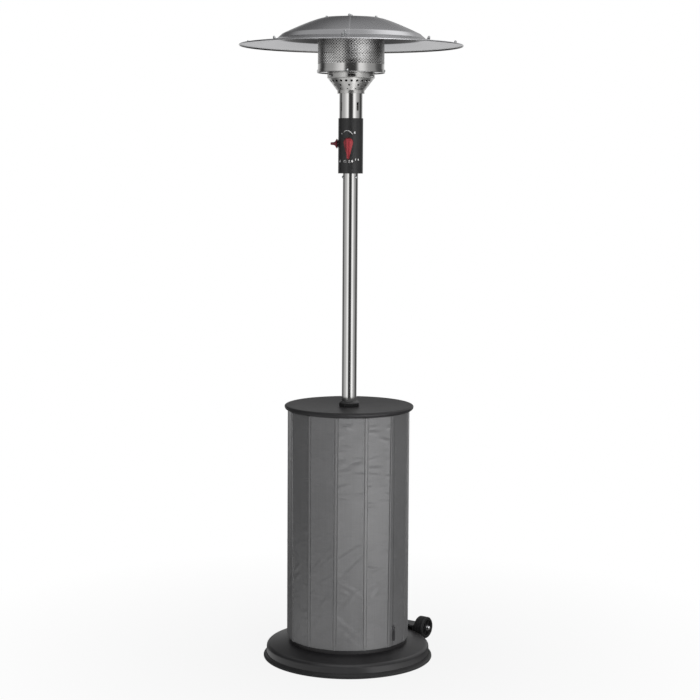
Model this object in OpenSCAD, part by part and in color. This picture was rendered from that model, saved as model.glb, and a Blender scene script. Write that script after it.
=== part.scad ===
// Gas patio heater: a free-standing mushroom heater with a cloth-covered bottle
// bay, a steel post, a control head with two knobs, a perforated heat emitter and
// a four-panel reflector. Millimetres, +Z up. The origin is on the floor under the
// post, and the front control knob faces -Y. Angles named *_front are measured from
// the front, growing towards +X.

/* [Base] */
// Radius of the upright skirt of the base shell
skirt_r = 279; // [262:1:300]
// Height of the flat top of the base above the floor
base_h = 58; // [52:1:70]
// Radius of the rounded shoulder between skirt and top
shoulder_r = 13; // [8:1:16]
// Height by which the top rises from the shoulder to its flat centre
top_rise = 11.5; // [8:0.5:14]
// Sheet thickness of the base shell
base_t = 1.5; // [1:0.1:2]
// How far the edge trim flares out past the skirt
trim_flare = 10.5; // [8:0.5:14]
// Height of the edge trim
trim_h = 15; // [13:1:18]
// Thickness of the ballast slab under the top
slab_t = 28; // [20:1:32]
// Radius of the ballast slab
slab_r = 188; // [184:1:198]

/* [Bottle bay] */
// Distance from the axis to a corner of the cloth cover
cover_r = 208.5; // [206:0.5:216]
// Number of flat panels round the cloth cover
cover_sides = 13; // [12:1:14]
// Thickness of the cloth
cloth_t = 1.6; // [1.2:0.1:2]
// Gap between the base top and the lower edge of the cloth
cover_lift = 13.6; // [10:0.1:18]
// Angle from the front of the corner just left of the zip
seam_front = 53.9; // [50:0.1:58]
// Length of the three uprights between base and top frame
upright_len = 797.5; // [760:0.5:840]
// Diameter of an upright
upright_d = 19; // [16:0.5:22]
// Wall of an upright
upright_wall = 1.5; // [1.2:0.1:2]
// Distance of the uprights from the axis
upright_r = 172; // [166:1:176]
// Height of the ring that the lower edge of the cloth is drawn round
foot_ring_h = 40; // [30:1:50]
// Thickness of the top frame's plate and spokes
plate_t = 4; // [3:0.5:5]

/* [Lid] */
// Outer radius of the lid
lid_r = 219.2; // [216:0.2:226]
// Radius of the rolled bead round the lid
bead_r = 10; // [9:0.2:10.4]
// Sheet thickness of the lid
lid_t = 1.5; // [1:0.1:2]

/* [Zip] */
// Distance of the zip from the corner on its left
zip_inset = 11; // [10.5:0.5:16]
// Width of the closed row of teeth
zip_w = 6; // [5:0.2:7]
// Height of the slider's pin above the lower edge of the cloth at rest
zip_rest = 63; // [58:1:80]
// Length of the pull tab below its pin
pull_len = 44; // [30:1:48]

/* [Wheel kit] */
// Angle from the front of the direction in which the heater is wheeled
kit_front = 155; // [150:1:160]
// Distance of the axle outside the skirt of the base
axle_out = 25; // [22:1:32]
// Height of the axle above the floor
axle_z = 47.5; // [45:0.5:52]
// Diameter of the axle
axle_d = 10; // [8:0.5:12]
// Diameter of a wheel over its tyre
wheel_d = 76; // [68:1:80]
// Width of a wheel
wheel_w = 35; // [30:1:38]
// Distance between the middle planes of the two wheels
wheel_gap = 229; // [215:1:245]

/* [Post and neck] */
// Outer diameter of the post
post_d = 51; // [46:0.5:56]
// Wall of the post
post_wall = 1.5; // [1:0.1:2]
// Length of the post
post_len = 795.5; // [760:0.5:830]
// Outer diameter of the neck tube
neck_d = 77.6; // [76:0.2:84]
// Wall of the neck tube
neck_wall = 1; // [0.8:0.1:1.4]
// Length of the neck tube
neck_len = 275; // [268:1:290]
// Outer diameter of the gas pipe
pipe_d = 10; // [8:0.5:12]

/* [Controls] */
// Wall of the control housing
housing_wall = 1.7; // [1.2:0.1:2.2]
// Height of the control housing
housing_h = 183; // [175:1:190]
// Height of the two knob axes above the top of the post
knob_z = 97; // [92:1:102]
// Width of a knob across its round end
knob_w = 32; // [28:0.5:34]
// Length of a knob's pointer from its axis
knob_len = 52.5; // [46:0.5:54]
// Depth of a knob
knob_depth = 21; // [18:0.5:24]
// Diameter of the two control stems
stem_d = 6; // [5:0.2:7]
// Inward travel of the front knob
push_travel = 3; // [2:0.1:3.2]

/* [Burner head] */
// Radius of the perforated emitter screen
screen_r = 110.7; // [106:0.1:116]
// Height of the emitter screen
screen_h = 143; // [136:1:150]
// Sheet thickness of emitter, cone and covers
sheet_t = 0.8; // [0.6:0.1:1.2]
// Radius of the vent cone's upper band
cone_r = 79.3; // [76:0.1:84]
// Height of the sloping part of the vent cone
cone_h = 39.4; // [36:0.1:44]
// Height of the vent cone's upper band
cone_band_h = 20; // [17:0.5:24]

/* [Reflector] */
// Radius of the reflector's rim
rim_r = 373; // [355:1:395]
// Height of the reflector's crown above its rim
dome_h = 91.5; // [84:0.5:100]
// Radius of the flat crown
crown_r = 96; // [90:1:102]
// Radius at the foot of the dome, where the brim starts
foot_r = 248; // [240:1:256]
// Sheet thickness of the reflector
panel_t = 0.8; // [0.6:0.1:1.2]
// Radius of the rolled edge of the rim
rim_bead = 2.3; // [2:0.1:2.8]
// Length of the stand-offs between emitter and reflector
standoff_len = 31; // [24:1:40]

/* [Hidden] */
$fn = 96;

// Clearances: fixed pieces that nest, turning fits (per side), and moving pieces
seat = 0.2;
run = 0.05;
air = 0.5;
// Clearance per side of a screw in its hole
bolt_gap = 0.2;
// Overlap used where one solid is cut through another
cut = 1;

// Standard azimuth of a direction given by its angle from the front
function az(front) = front - 90;

// Base heights and radii
flat_r = cover_r - 1.5;
shoulder_z = base_h - top_rise - shoulder_r * sin(80);
skirt_z0 = 6;

// Cover: panel half angle, and the distance of its flat faces from the axis
half_a = 180 / cover_sides;
face_r = cover_r * cos(half_a);
inner_face_r = face_r - cloth_t;
panel_half = cover_r * sin(half_a);
seam_w = 9;
seam_t = 1;
hem_h = 14;
hem_t = 0.7;
cover_z0 = base_h + cover_lift;

// Top frame, lid and post stack
frame_z = base_h + upright_len;
plate_r = 78;
spoke_w = 24;
flange_t = 5;
flange_r = 60;
flange_bolt_r = 44;
lid_gap = 1;
lid_z = frame_z + plate_t + flange_t + lid_gap;
lid_top = lid_z + lid_t;
bead_mid_r = lid_r - bead_r;
frame_ring_r = bead_mid_r - bead_r - seat - 0.1;
frame_ring_h = 25;
frame_ring_t = 3;
cover_z1 = lid_z - 0.5 - bead_r - 0.3;
upright_front = [0, 120, 240];
plug_len = 22;
m6 = 6;
m8 = 8;

// Zip panel: its middle direction and the place of the zip on it
zip_az = az(seam_front + half_a);
zip_y = -panel_half + zip_inset;
tooth_t = 1.6;
slider_wall = 1.5;
slider_h = 16;
slider_top = tooth_t + air + slider_wall;
pin_r = 1.1;
eye_r = 2.6;
pin_x = face_r + slider_top + eye_r + air;
pin_z = cover_z0 + zip_rest;
pull_t = 1.8;
pull_neck = 5;
pull_w = 12;
lug_w = 1.6;

// Wheel kit
kit_az = az(kit_front);
axle_reach = skirt_r + axle_out;
wheel_r = wheel_d / 2;
axle_r = axle_d / 2;
tyre_t = 7;
rim_out_r = wheel_r - tyre_t;
hub_r = axle_r + 6;
cap_len = 11;
cap_r = 6.5;
wheel_play = 0.4;
bracket_half = wheel_gap / 2 - wheel_w / 2 - wheel_play;
bracket_t = 3;
bracket_top = axle_z + 12;
bracket_bot = trim_h + 6;
bracket_out = axle_reach + 13;
bracket_bolt_y = 46;
bracket_bolt_z = bracket_bot + 8;
// How far inside the skirt the bolt holes are drilled from
drill_back = 60;

// Head heights
post_r = post_d / 2;
post_z0 = frame_z + plate_t;
head_z = post_z0 + post_len;
socket_t = 6;
spigot_len = 32;
neck_r = neck_d / 2;
neck_z1 = head_z + neck_len;
housing_in = neck_r + 1;
housing_r = housing_in + housing_wall;
housing_z0 = head_z - 2;
housing_z1 = housing_z0 + housing_h;
split_y = 10;
split_gap = 0.1;
axis_z = head_z + knob_z;
post_bolt_z = head_z - 14;
post_bolt_front = [55, -65, 175];
pipe_r = pipe_d / 2;

// Controls
stem_r = stem_d / 2;
rotor_r = stem_r + 3;
nose_r = rotor_r + 3;
knob_back = housing_r + push_travel + 0.4;
valve_r = 17;
valve_front = neck_r - neck_wall - 5;
nose_end = housing_r + 1.5;
rotor_in = 15;
stem_in = rotor_in + push_travel + 2;
stem_out = knob_back + knob_depth - 6;
igniter_r = 12;
igniter_out = sqrt(pow(neck_r - neck_wall, 2) - igniter_r * igniter_r) - 0.6;
igniter_in = valve_r + 1;
side_nose_r = stem_r + 4;

// Burner stack
collar_h = 10;
collar_r = 45.2;
cone_z0 = neck_z1 - 2.4;
cone_low_r = collar_r + 1.3;
cone_z1 = cone_z0 + cone_h;
dish_z = cone_z1 + cone_band_h;
dish_t = 1.5;
screen_in = screen_r - sheet_t;
lip_h = 14;
screen_z1 = dish_z + screen_h;
band_h = 12;
band_bead = 1.2;
cap_t = 1.5;
cap_z1 = screen_z1 + cap_t;
screw_z = dish_z + 5;
top_screw_z = screen_z1 - 7;
screen_screw_front = 3.5;
top_screw_front = 51;
mixing_r = 14;
jet_z = neck_z1 - 42;
burner_r = 48;

// Reflector stack
hub_t = 1.5;
hub_plate_r = crown_r - 4;
hub_z = cap_z1 + standoff_len;
rim_z = hub_z + hub_t - dome_h;
crown_z = rim_z + dome_h + panel_t;
crown_cap_t = 1;
seam_az = az(7.6);
lip_a = 4;
seam_gap_a = 0.05;
inner_r = 12;
lip_in = crown_r + 4;
lip_out = rim_r - 12;
standoff_r = crown_r - 14;
seam_screw_r = [foot_r + 8, rim_r - 28];
m4 = 4;
m5 = 5;

// Places a radial feature: local +Z points away from the axis
module radial(r, a, z) {
  rotate([0, 0, a])
    translate([r, 0, z])
      rotate([0, 90, 0])
        children();
}

// Copies children round the axis
module around(n, first = 0) {
  for (i = [0 : n - 1])
    rotate([0, 0, first + i * 360 / n])
      children();
}

// Hexagon head or nut, across flats af
module hex(af, h) {
  cylinder(d = af / cos(30), h = h, $fn = 6);
}

// Dome head of radius r and height h on the plane z = 0
module dome(r, h) {
  ball = (r * r + h * h) / (2 * h);
  intersection() {
    translate([0, 0, h - ball])
      sphere(r = ball);
    cylinder(r = r, h = h);
  }
}

// Tube between two radii
module ring(r_out, r_in, h) {
  difference() {
    cylinder(r = r_out, h = h);
    translate([0, 0, -cut])
      cylinder(r = r_in, h = h + 2 * cut);
  }
}

// Base

module base_shell() {
  arc = [for (a = [0 : 10 : 80]) a];
  outer = concat(
    [[skirt_r, skirt_z0]],
    [for (a = arc) [skirt_r - shoulder_r * (1 - cos(a)), shoulder_z + shoulder_r * sin(a)]],
    [[flat_r, base_h], [0, base_h]]
  );
  inset = shoulder_r - base_t;
  inner = concat(
    [[skirt_r - base_t, skirt_z0]],
    [for (a = arc) [skirt_r - shoulder_r + inset * cos(a), shoulder_z + inset * sin(a)]],
    [[flat_r, base_h - base_t], [0, base_h - base_t]]
  );
  color("#2b2b2e")
    difference() {
      rotate_extrude()
        polygon(concat(outer, [for (i = [len(inner) - 1 : -1 : 0]) inner[i]]));
      foot_bolt_holes();
      bracket_bolt_holes();
    }
}

module foot_bolt_holes() {
  for (f = upright_front)
    rotate([0, 0, az(f)])
      translate([upright_r, 0, -cut])
        cylinder(d = m8 + 2 * bolt_gap, h = base_h + 2 * cut);
}

module base_trim() {
  groove_out = skirt_r + seat;
  groove_in = skirt_r - base_t - seat;
  lip = skirt_r + trim_flare;
  color("#1c1c1e")
    rotate_extrude()
      polygon([
        [groove_in - 5, 0], [lip - 1.5, 0], [lip, 1.5], [lip, 3.5],
        [skirt_r + 5, 8], [groove_out + 1.3, trim_h], [groove_out, trim_h],
        [groove_out, skirt_z0], [groove_in, skirt_z0], [groove_in, skirt_z0 + 4],
        [groove_in - 5, skirt_z0 + 4]
      ]);
}

module ballast_slab() {
  color("#77756f")
    difference() {
      translate([0, 0, base_h - base_t - slab_t])
        cylinder(r = slab_r, h = slab_t);
      foot_bolt_holes();
    }
}

module foot_ring() {
  color("#202022")
    translate([0, 0, base_h])
      ring(inner_face_r - seat - 0.1, inner_face_r - seat - 2.1, foot_ring_h);
}

// Bottle bay frame

// Tube with a solid plug at each end, bored for its bolt
module upright(f) {
  color("#55575b")
    rotate([0, 0, az(f)])
      translate([upright_r, 0, base_h])
        difference() {
          cylinder(d = upright_d, h = upright_len);
          translate([0, 0, plug_len])
            cylinder(d = upright_d - 2 * upright_wall, h = upright_len - 2 * plug_len);
          translate([0, 0, -cut])
            cylinder(d = m8 + 2 * bolt_gap, h = upright_len + 2 * cut);
        }
}

module upright_a() { upright(upright_front[0]); }
module upright_b() { upright(upright_front[1]); }
module upright_c() { upright(upright_front[2]); }

module top_frame() {
  color("#2f3033")
    difference() {
      union() {
        translate([0, 0, lid_z - frame_ring_h])
          ring(frame_ring_r, frame_ring_r - frame_ring_t, frame_ring_h);
        translate([0, 0, frame_z])
          cylinder(r = plate_r, h = plate_t);
        for (f = upright_front)
          rotate([0, 0, az(f)])
            translate([plate_r - 8, -spoke_w / 2, frame_z])
              cube([frame_ring_r - frame_ring_t / 2 - plate_r + 8, spoke_w, plate_t]);
      }
      translate([0, 0, frame_z - cut])
        cylinder(r = inlet_r + bolt_gap, h = plate_t + 2 * cut);
      around(4, 45)
        translate([flange_bolt_r, 0, frame_z - cut])
          cylinder(d = m8 + 2 * bolt_gap, h = plate_t + 2 * cut);
      for (f = upright_front)
        rotate([0, 0, az(f)])
          translate([upright_r, 0, frame_z - cut])
            cylinder(d = m8 + 2 * bolt_gap, h = plate_t + 2 * cut);
    }
}

// Bolts of the cage: up through the slab, down through the spokes, and at the post
module frame_bolts() {
  slab_z = base_h - base_t - slab_t;
  head_h = 5;
  color("#b9bcc0") {
    for (f = upright_front)
      rotate([0, 0, az(f)])
        translate([upright_r, 0, 0]) {
          translate([0, 0, slab_z - head_h])
            hex(13, head_h);
          translate([0, 0, slab_z - cut])
            cylinder(d = m8, h = base_h + plug_len - 4 - slab_z + cut);
          translate([0, 0, frame_z + plate_t])
            dome(7, 4);
          translate([0, 0, frame_z - plug_len + 4])
            cylinder(d = m8, h = plate_t + plug_len - 4 + 0.5);
        }
    around(4, 45)
      translate([flange_bolt_r, 0, frame_z - head_h]) {
        hex(13, head_h);
        cylinder(d = m8, h = head_h + plate_t + flange_t - 0.5);
      }
  }
}

// Lid: a tray whose edge is rolled into a round bead

module lid() {
  mid_z = lid_z - 0.5;
  color("#29282c")
    rotate_extrude()
      difference() {
        union() {
          translate([post_r + seat, lid_z])
            square([bead_mid_r - bead_r + lid_t - post_r - seat, lid_t]);
          difference() {
            translate([bead_mid_r, mid_z])
              circle(r = bead_r);
            translate([bead_mid_r, mid_z])
              circle(r = bead_r - lid_t);
          }
        }
        translate([bead_mid_r - bead_r + 3.5, mid_z - bead_r])
          square([3, 5]);
      }
}

// Cloth cover: flat panels between raised seams, with a hem at the lower edge

function corner(k, r) =
  let (a = az(seam_front + 2 * half_a * k))
  [r * cos(a), r * sin(a)];

function outline(out) = [for (k = [0 : cover_sides - 1]) corner(k, (face_r + out) / cos(half_a))];

// Plan of one raised seam: a strip folded round a corner of the cover
function seam_plan(k) =
  let (c = seam_front + 2 * half_a * k, w = seam_w / 2)
  let (l = az(c - half_a), r = az(c + half_a))
  let (q = corner(k, (face_r + seam_t) / cos(half_a)))
  let (b = corner(k, (face_r - cloth_t / 2) / cos(half_a)))
  [
    b + w * [sin(l), -cos(l)], q + w * [sin(l), -cos(l)], q,
    q + w * [-sin(r), cos(r)], b + w * [-sin(r), cos(r)], b
  ];

module cover() {
  color("#8d8d8f")
    difference() {
      union() {
        translate([0, 0, cover_z0])
          linear_extrude(cover_z1 - cover_z0)
            polygon(outline(0));
        translate([0, 0, cover_z0])
          linear_extrude(hem_h)
            polygon(outline(hem_t));
        for (k = [0 : cover_sides - 1])
          translate([0, 0, cover_z0])
            linear_extrude(cover_z1 - cover_z0)
              polygon(seam_plan(k));
      }
      translate([0, 0, cover_z0 - cut])
        linear_extrude(cover_z1 - cover_z0 + 2 * cut)
          polygon(outline(-cloth_t));
    }
}

module cover_stays() {
  stay_r = 2;
  corner_in = inner_face_r / cos(half_a);
  color("#d0d0cc")
    for (k = [0 : cover_sides - 1])
      rotate([0, 0, az(seam_front + 2 * half_a * k)])
        translate([corner_in - stay_r / cos(half_a) - seat, 0, cover_z0 + 3])
          cylinder(r = stay_r, h = cover_z1 - cover_z0 - 6);
}

// Zip: a row of teeth on the cloth, a slider over it and a hanging pull tab

module on_zip() {
  rotate([0, 0, zip_az])
    translate([0, zip_y, 0])
      children();
}

module zip_teeth() {
  color("#3a3a3c")
    on_zip()
      translate([face_r, -zip_w / 2, cover_z0 + hem_h + 2])
        cube([tooth_t, zip_w, cover_z1 - cover_z0 - hem_h - 14]);
}

module zip_slider() {
  half = zip_w / 2 + air + slider_wall;
  eye_half = pull_neck / 2 + 0.4;
  color("#8f9196")
    on_zip()
      translate([0, 0, pin_z]) {
        difference() {
          translate([face_r + 0.3, -half, -slider_h / 2])
            cube([slider_top - 0.3, 2 * half, slider_h]);
          translate([face_r - cut, -zip_w / 2 - air, -slider_h / 2 - cut])
            cube([tooth_t + air + cut, zip_w + 2 * air, slider_h + 2 * cut]);
        }
        for (s = [-1, 1])
          translate([face_r + slider_top - 0.5, s * (eye_half + lug_w / 2) - lug_w / 2, -2])
            cube([pin_x - face_r - slider_top + 0.5 + 2, lug_w, 4]);
        translate([pin_x, -eye_half - 0.3, 0])
          rotate([-90, 0, 0])
            cylinder(r = pin_r, h = 2 * eye_half + 0.6);
      }
}

module zip_pull() {
  color("#4a4a4d")
    on_zip()
      translate([pin_x, 0, pin_z])
        difference() {
          union() {
            translate([0, -pull_neck / 2, 0])
              rotate([-90, 0, 0])
                cylinder(r = eye_r, h = pull_neck);
            translate([-pull_t / 2, -pull_neck / 2, -14])
              cube([pull_t, pull_neck, 14]);
            translate([-pull_t / 2, -pull_w / 2, -pull_len])
              cube([pull_t, pull_w, pull_len - 12]);
          }
          translate([0, -pull_neck / 2 - cut, 0])
            rotate([-90, 0, 0])
              cylinder(r = pin_r + run, h = pull_neck + 2 * cut);
        }
}

// Wheel kit: local x points away from the base, local y lies along the axle

module on_kit() {
  rotate([0, 0, kit_az])
    children();
}

module on_axle(y) {
  on_kit()
    translate([axle_reach, y, axle_z])
      rotate([-90, 0, 0])
        children();
}

module bracket_bolt_holes() {
  on_kit()
    for (s = [-1, 1])
      translate([skirt_r - drill_back, s * bracket_bolt_y, bracket_bolt_z])
        rotate([0, 90, 0])
          cylinder(d = m8 + 2 * bolt_gap, h = bracket_out - skirt_r + drill_back + cut);
}

module wheel_bracket() {
  start = sqrt(pow(skirt_r, 2) - pow(bracket_half, 2)) - 12;
  color("#19191b")
    difference() {
      on_kit()
        difference() {
          translate([start, -bracket_half, bracket_bot])
            cube([bracket_out - start, 2 * bracket_half, bracket_top - bracket_bot]);
          for (s = [-1, 1])
            translate([start - cut, s > 0 ? bracket_t : -bracket_half + bracket_t, bracket_bot - cut])
              cube([bracket_out - start - bracket_t + cut,
                    bracket_half - 2 * bracket_t,
                    bracket_top - bracket_bot - bracket_t + cut]);
        }
      cylinder(r = skirt_r + seat, h = bracket_top + cut);
      bracket_bolt_holes();
      on_axle(-bracket_half - cut)
        cylinder(r = axle_r + bolt_gap, h = 2 * bracket_half + 2 * cut);
    }
}

module bracket_bolts() {
  inner = sqrt(pow(skirt_r - base_t, 2) - pow(bracket_bolt_y + 8, 2));
  color("#9a9da2")
    on_kit()
      for (s = [-1, 1])
        translate([0, s * bracket_bolt_y, bracket_bolt_z])
          rotate([0, 90, 0]) {
            translate([0, 0, bracket_out])
              dome(7, 4);
            translate([0, 0, inner - 8])
              cylinder(d = m8, h = bracket_out - inner + 8 + 0.5);
            translate([0, 0, inner - 6.7])
              hex(13, 6.5);
          }
}

module wheel_axle() {
  half = wheel_gap / 2 + wheel_w / 2 + wheel_play;
  color("#a7aaae")
    on_axle(-half - 4)
      cylinder(r = axle_r, h = 2 * half + 8);
}

module axle_caps() {
  half = wheel_gap / 2 + wheel_w / 2 + wheel_play;
  color("#e2e3e5")
    for (s = [-1, 1])
      on_kit()
        translate([axle_reach, s * half, axle_z])
          rotate([s > 0 ? -90 : 90, 0, 0])
            difference() {
              union() {
                cylinder(r = cap_r + 1.5, h = 1.5);
                cylinder(r = cap_r, h = cap_len - 4.5);
                translate([0, 0, cap_len - 4.5])
                  dome(cap_r, 4.5);
              }
              translate([0, 0, -cut])
                cylinder(r = axle_r + bolt_gap, h = 4 + cut + seat);
            }
}

// Plastic wheel body, dished on both faces
module hub(y) {
  dish_h = 10;
  color("#232325")
    on_axle(y - wheel_w / 2)
      difference() {
        union() {
          difference() {
            cylinder(r = rim_out_r, h = wheel_w);
            for (z = [-cut, wheel_w - dish_h])
              translate([0, 0, z])
                ring(rim_out_r - 3.5, hub_r, dish_h + cut);
          }
        }
        translate([0, 0, -cut])
          cylinder(r = axle_r + run, h = wheel_w + 2 * cut);
      }
}

module tyre(y) {
  color("#161617")
    on_axle(y)
      rotate_extrude()
        polygon([
          [rim_out_r + seat, -wheel_w / 2], [wheel_r - 3, -wheel_w / 2],
          [wheel_r, -wheel_w / 2 + 3], [wheel_r, wheel_w / 2 - 3],
          [wheel_r - 3, wheel_w / 2], [rim_out_r + seat, wheel_w / 2]
        ]);
}

module wheel_right_hub() { hub(-wheel_gap / 2); }
module wheel_right_tyre() { tyre(-wheel_gap / 2); }
module wheel_left_hub() { hub(wheel_gap / 2); }
module wheel_left_tyre() { tyre(wheel_gap / 2); }

// Post

module post() {
  color("#c9ccd0")
    difference() {
      translate([0, 0, post_z0])
        ring(post_r, post_r - post_wall, post_len);
      post_bolt_holes();
    }
}

module post_bolt_holes() {
  for (f = post_bolt_front)
    radial(0, az(f), post_bolt_z)
      translate([0, 0, post_r - 14])
        cylinder(d = m5 + 2 * bolt_gap, h = 20);
}

module post_flange() {
  color("#88898d")
    difference() {
      translate([0, 0, post_z0])
        cylinder(r = flange_r, h = flange_t);
      translate([0, 0, post_z0 - cut])
        cylinder(r = post_r + seat, h = flange_t + 2 * cut);
      around(4, 45)
        translate([flange_bolt_r, 0, post_z0 - cut])
          cylinder(d = m8 + 2 * bolt_gap, h = flange_t + 2 * cut);
    }
}

// Moulded collar over the hole in the lid, scalloped round its edge
module post_collar() {
  foot_h = 9;
  edge_r = post_r + 9;
  scallops = 14;
  color("#232326")
    difference() {
      union() {
        translate([0, 0, lid_top])
          cylinder(r = edge_r, h = foot_h);
        translate([0, 0, lid_top + foot_h])
          cylinder(r1 = edge_r - 1.5, r2 = post_r + 2, h = 9);
      }
      translate([0, 0, lid_top - cut])
        cylinder(r = post_r + seat, h = 30);
      around(scallops)
        translate([edge_r + 1.6, 0, lid_top - cut])
          cylinder(r = 3.2, h = foot_h + cut - 1, $fn = 32);
    }
}

// Socket that carries the neck tube on the post
module head_socket() {
  color("#6f7276")
    difference() {
      union() {
        translate([0, 0, head_z])
          cylinder(r = neck_r - neck_wall - seat, h = socket_t);
        translate([0, 0, head_z - spigot_len])
          cylinder(r = post_r - post_wall - seat, h = spigot_len + cut);
      }
      translate([0, 0, head_z - spigot_len - cut])
        cylinder(r = pipe_r + bolt_gap, h = spigot_len + socket_t + 2 * cut);
      post_bolt_holes();
    }
}

module post_bolts() {
  color("#b4b7bb")
    for (f = post_bolt_front)
      radial(0, az(f), post_bolt_z) {
        translate([0, 0, post_r + seat])
          dome(5, 4);
        translate([0, 0, post_r - 12])
          cylinder(d = m5, h = 12.8);
      }
}

// Gas path up to the valve

inlet_r = 8.5;

module gas_inlet() {
  hex_h = 12;
  color("#b08a3e") {
    difference() {
      union() {
        translate([0, 0, frame_z - hex_h])
          hex(22, hex_h);
        translate([0, 0, frame_z - cut])
          cylinder(r = inlet_r, h = plate_t + 7 + cut);
        translate([0, 0, frame_z - hex_h - 14])
          cylinder(r = 6.6, h = 14 + cut);
        for (i = [0 : 2])
          translate([0, 0, frame_z - hex_h - 14 - 5 * i - 5])
            cylinder(r1 = 5, r2 = 6, h = 5.01);
      }
      translate([0, 0, frame_z - hex_h - 40])
        cylinder(r = 3, h = hex_h + 40 + plate_t + 7 + cut);
    }
  }
}

module gas_pipe() {
  z0 = frame_z + plate_t + 7;
  color("#b8743f")
    translate([0, 0, z0])
      ring(pipe_r, pipe_r - 1.2, axis_z - valve_r - 9 - z0);
}

// Control head

module control_holes(r) {
  translate([0, -neck_r + 12, axis_z])
    rotate([90, 0, 0])
      cylinder(r = nose_r + r, h = 30);
  translate([-neck_r + 12, 0, axis_z])
    rotate([0, -90, 0])
      cylinder(r = side_nose_r + r, h = 30);
}

module neck_tube() {
  slot_w = 7.8;
  slot_h = 29;
  color("#c4c7cb")
    difference() {
      translate([0, 0, head_z])
        ring(neck_r, neck_r - neck_wall, neck_len);
      control_holes(seat);
      around(4, az(45))
        translate([neck_r - 6, -slot_w / 2, neck_z1 - 69])
          cube([12, slot_w, slot_h]);
    }
}

// Sleeve of the control housing, with lips that sit on the neck tube
module housing_sleeve() {
  lip = 3;
  difference() {
    union() {
      translate([0, 0, housing_z0])
        ring(housing_r, housing_in, housing_h);
      translate([0, 0, housing_z1 - lip])
        ring(housing_r - 0.2, neck_r + seat, lip);
      translate([0, 0, head_z + cut])
        ring(housing_r - 0.2, neck_r + seat, lip);
    }
    control_holes(seat);
  }
}

module housing_front() {
  color("#2a2a2c")
    difference() {
      housing_sleeve();
      translate([-housing_r - cut, split_y - split_gap, housing_z0 - cut])
        cube([2 * (housing_r + cut), housing_r + cut, housing_h + 2 * cut]);
    }
}

housing_screw_z = [20, housing_h - 20];

module housing_rear() {
  color("#2a2a2c")
    difference() {
      housing_sleeve();
      translate([-housing_r - cut, split_y - 2 * housing_r, housing_z0 - cut])
        cube([2 * (housing_r + cut), 2 * housing_r, housing_h + 2 * cut]);
      for (dz = housing_screw_z)
        radial(neck_r - 5, 90, housing_z0 + dz)
          cylinder(d = m4 + 2 * bolt_gap, h = 15);
    }
}

module housing_screws() {
  color("#8f9297")
    for (dz = housing_screw_z)
      radial(0, 90, housing_z0 + dz) {
        translate([0, 0, housing_r + 0.15])
          dome(4, 2.4);
        translate([0, 0, neck_r + 0.1])
          cylinder(d = m4, h = housing_r - neck_r + 0.6);
      }
}

// Valve: a turned body on the front axis with bosses for the two pipes
module gas_valve() {
  color("#a9abad")
    difference() {
      union() {
        translate([0, 6, axis_z])
          rotate([90, 0, 0])
            cylinder(r = valve_r, h = 6 + valve_front);
        translate([0, -valve_front + cut, axis_z])
          rotate([90, 0, 0])
            cylinder(r = nose_r, h = nose_end - valve_front + cut);
        translate([0, 0, axis_z - valve_r - 9])
          cylinder(r = pipe_r + 3, h = valve_r + 9);
        translate([0, 0, axis_z])
          cylinder(r = 7, h = valve_r + 8);
      }
      translate([0, -rotor_in + cut, axis_z])
        rotate([90, 0, 0])
          cylinder(r = rotor_r + run, h = nose_end);
    }
}

module valve_rotor() {
  color("#c8b070")
    difference() {
      translate([0, -rotor_in, axis_z])
        rotate([90, 0, 0])
          cylinder(r = rotor_r, h = nose_end - rotor_in - 0.2);
      translate([0, -rotor_in + cut, axis_z])
        rotate([90, 0, 0])
          cylinder(r = stem_r + run, h = nose_end);
    }
}

module front_stem() {
  color("#b7babd")
    translate([0, -stem_in, axis_z])
      rotate([90, 0, 0])
        cylinder(r = stem_r, h = stem_out - stem_in);
}

// Height of a knob's round end above its axis
knob_rise = 3.4;

// Plan of a knob: a round end of radius r that narrows to a rounded point, drawn in
// by inset at both ends
module drop(r, tip_r, inset) {
  top = knob_w / 2 + knob_rise - inset - r;
  low = knob_len - inset - tip_r;
  k = asin((r - tip_r) / (top + low));
  translate([0, top])
    circle(r = r);
  translate([0, -low])
    circle(r = tip_r);
  polygon([
    [r * cos(k), top - r * sin(k)], [tip_r * cos(k), -low - tip_r * sin(k)],
    [-tip_r * cos(k), -low - tip_r * sin(k)], [-r * cos(k), top - r * sin(k)]
  ]);
}

// Knob with its back on z = 0: a skirt, a flared shoulder and a grip fin
module knob() {
  skirt_h = 4;
  flare_h = 7;
  fin = 4.8;
  difference() {
    union() {
      linear_extrude(skirt_h)
        drop(knob_w / 2, 3, 0);
      hull() {
        translate([0, 0, skirt_h - 0.5])
          linear_extrude(0.5)
            drop(knob_w / 2 - 0.5, 2.5, 0.5, $fn = 32);
        translate([0, 0, skirt_h + flare_h - 0.5])
          linear_extrude(0.5)
            drop(fin + 1.2, 2.4, 2, $fn = 32);
      }
      translate([0, 0, skirt_h])
        linear_extrude(knob_depth - skirt_h)
          drop(fin, 2.2, 3);
    }
    translate([0, 0, -cut])
      cylinder(r = stem_r + 0.1, h = knob_depth - 6 + seat + cut);
    translate([0, 0, -cut])
      cylinder(r = nose_r + 1.5, h = nose_end - housing_r + 1 + cut);
  }
}

module front_knob() {
  color("#a83238")
    translate([0, -knob_back, axis_z])
      rotate([90, 0, 0])
        knob();
}

module igniter() {
  color("#3a3b3e")
    difference() {
      translate([0, 0, axis_z])
        rotate([0, -90, 0]) {
          translate([0, 0, igniter_in])
            cylinder(r = igniter_r, h = igniter_out - igniter_in);
          translate([0, 0, igniter_out - cut])
            cylinder(r = side_nose_r, h = nose_end - igniter_out + cut);
        }
      translate([-igniter_in - 3, 0, axis_z])
        rotate([0, -90, 0])
          cylinder(r = stem_r + run, h = nose_end);
    }
}

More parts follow.
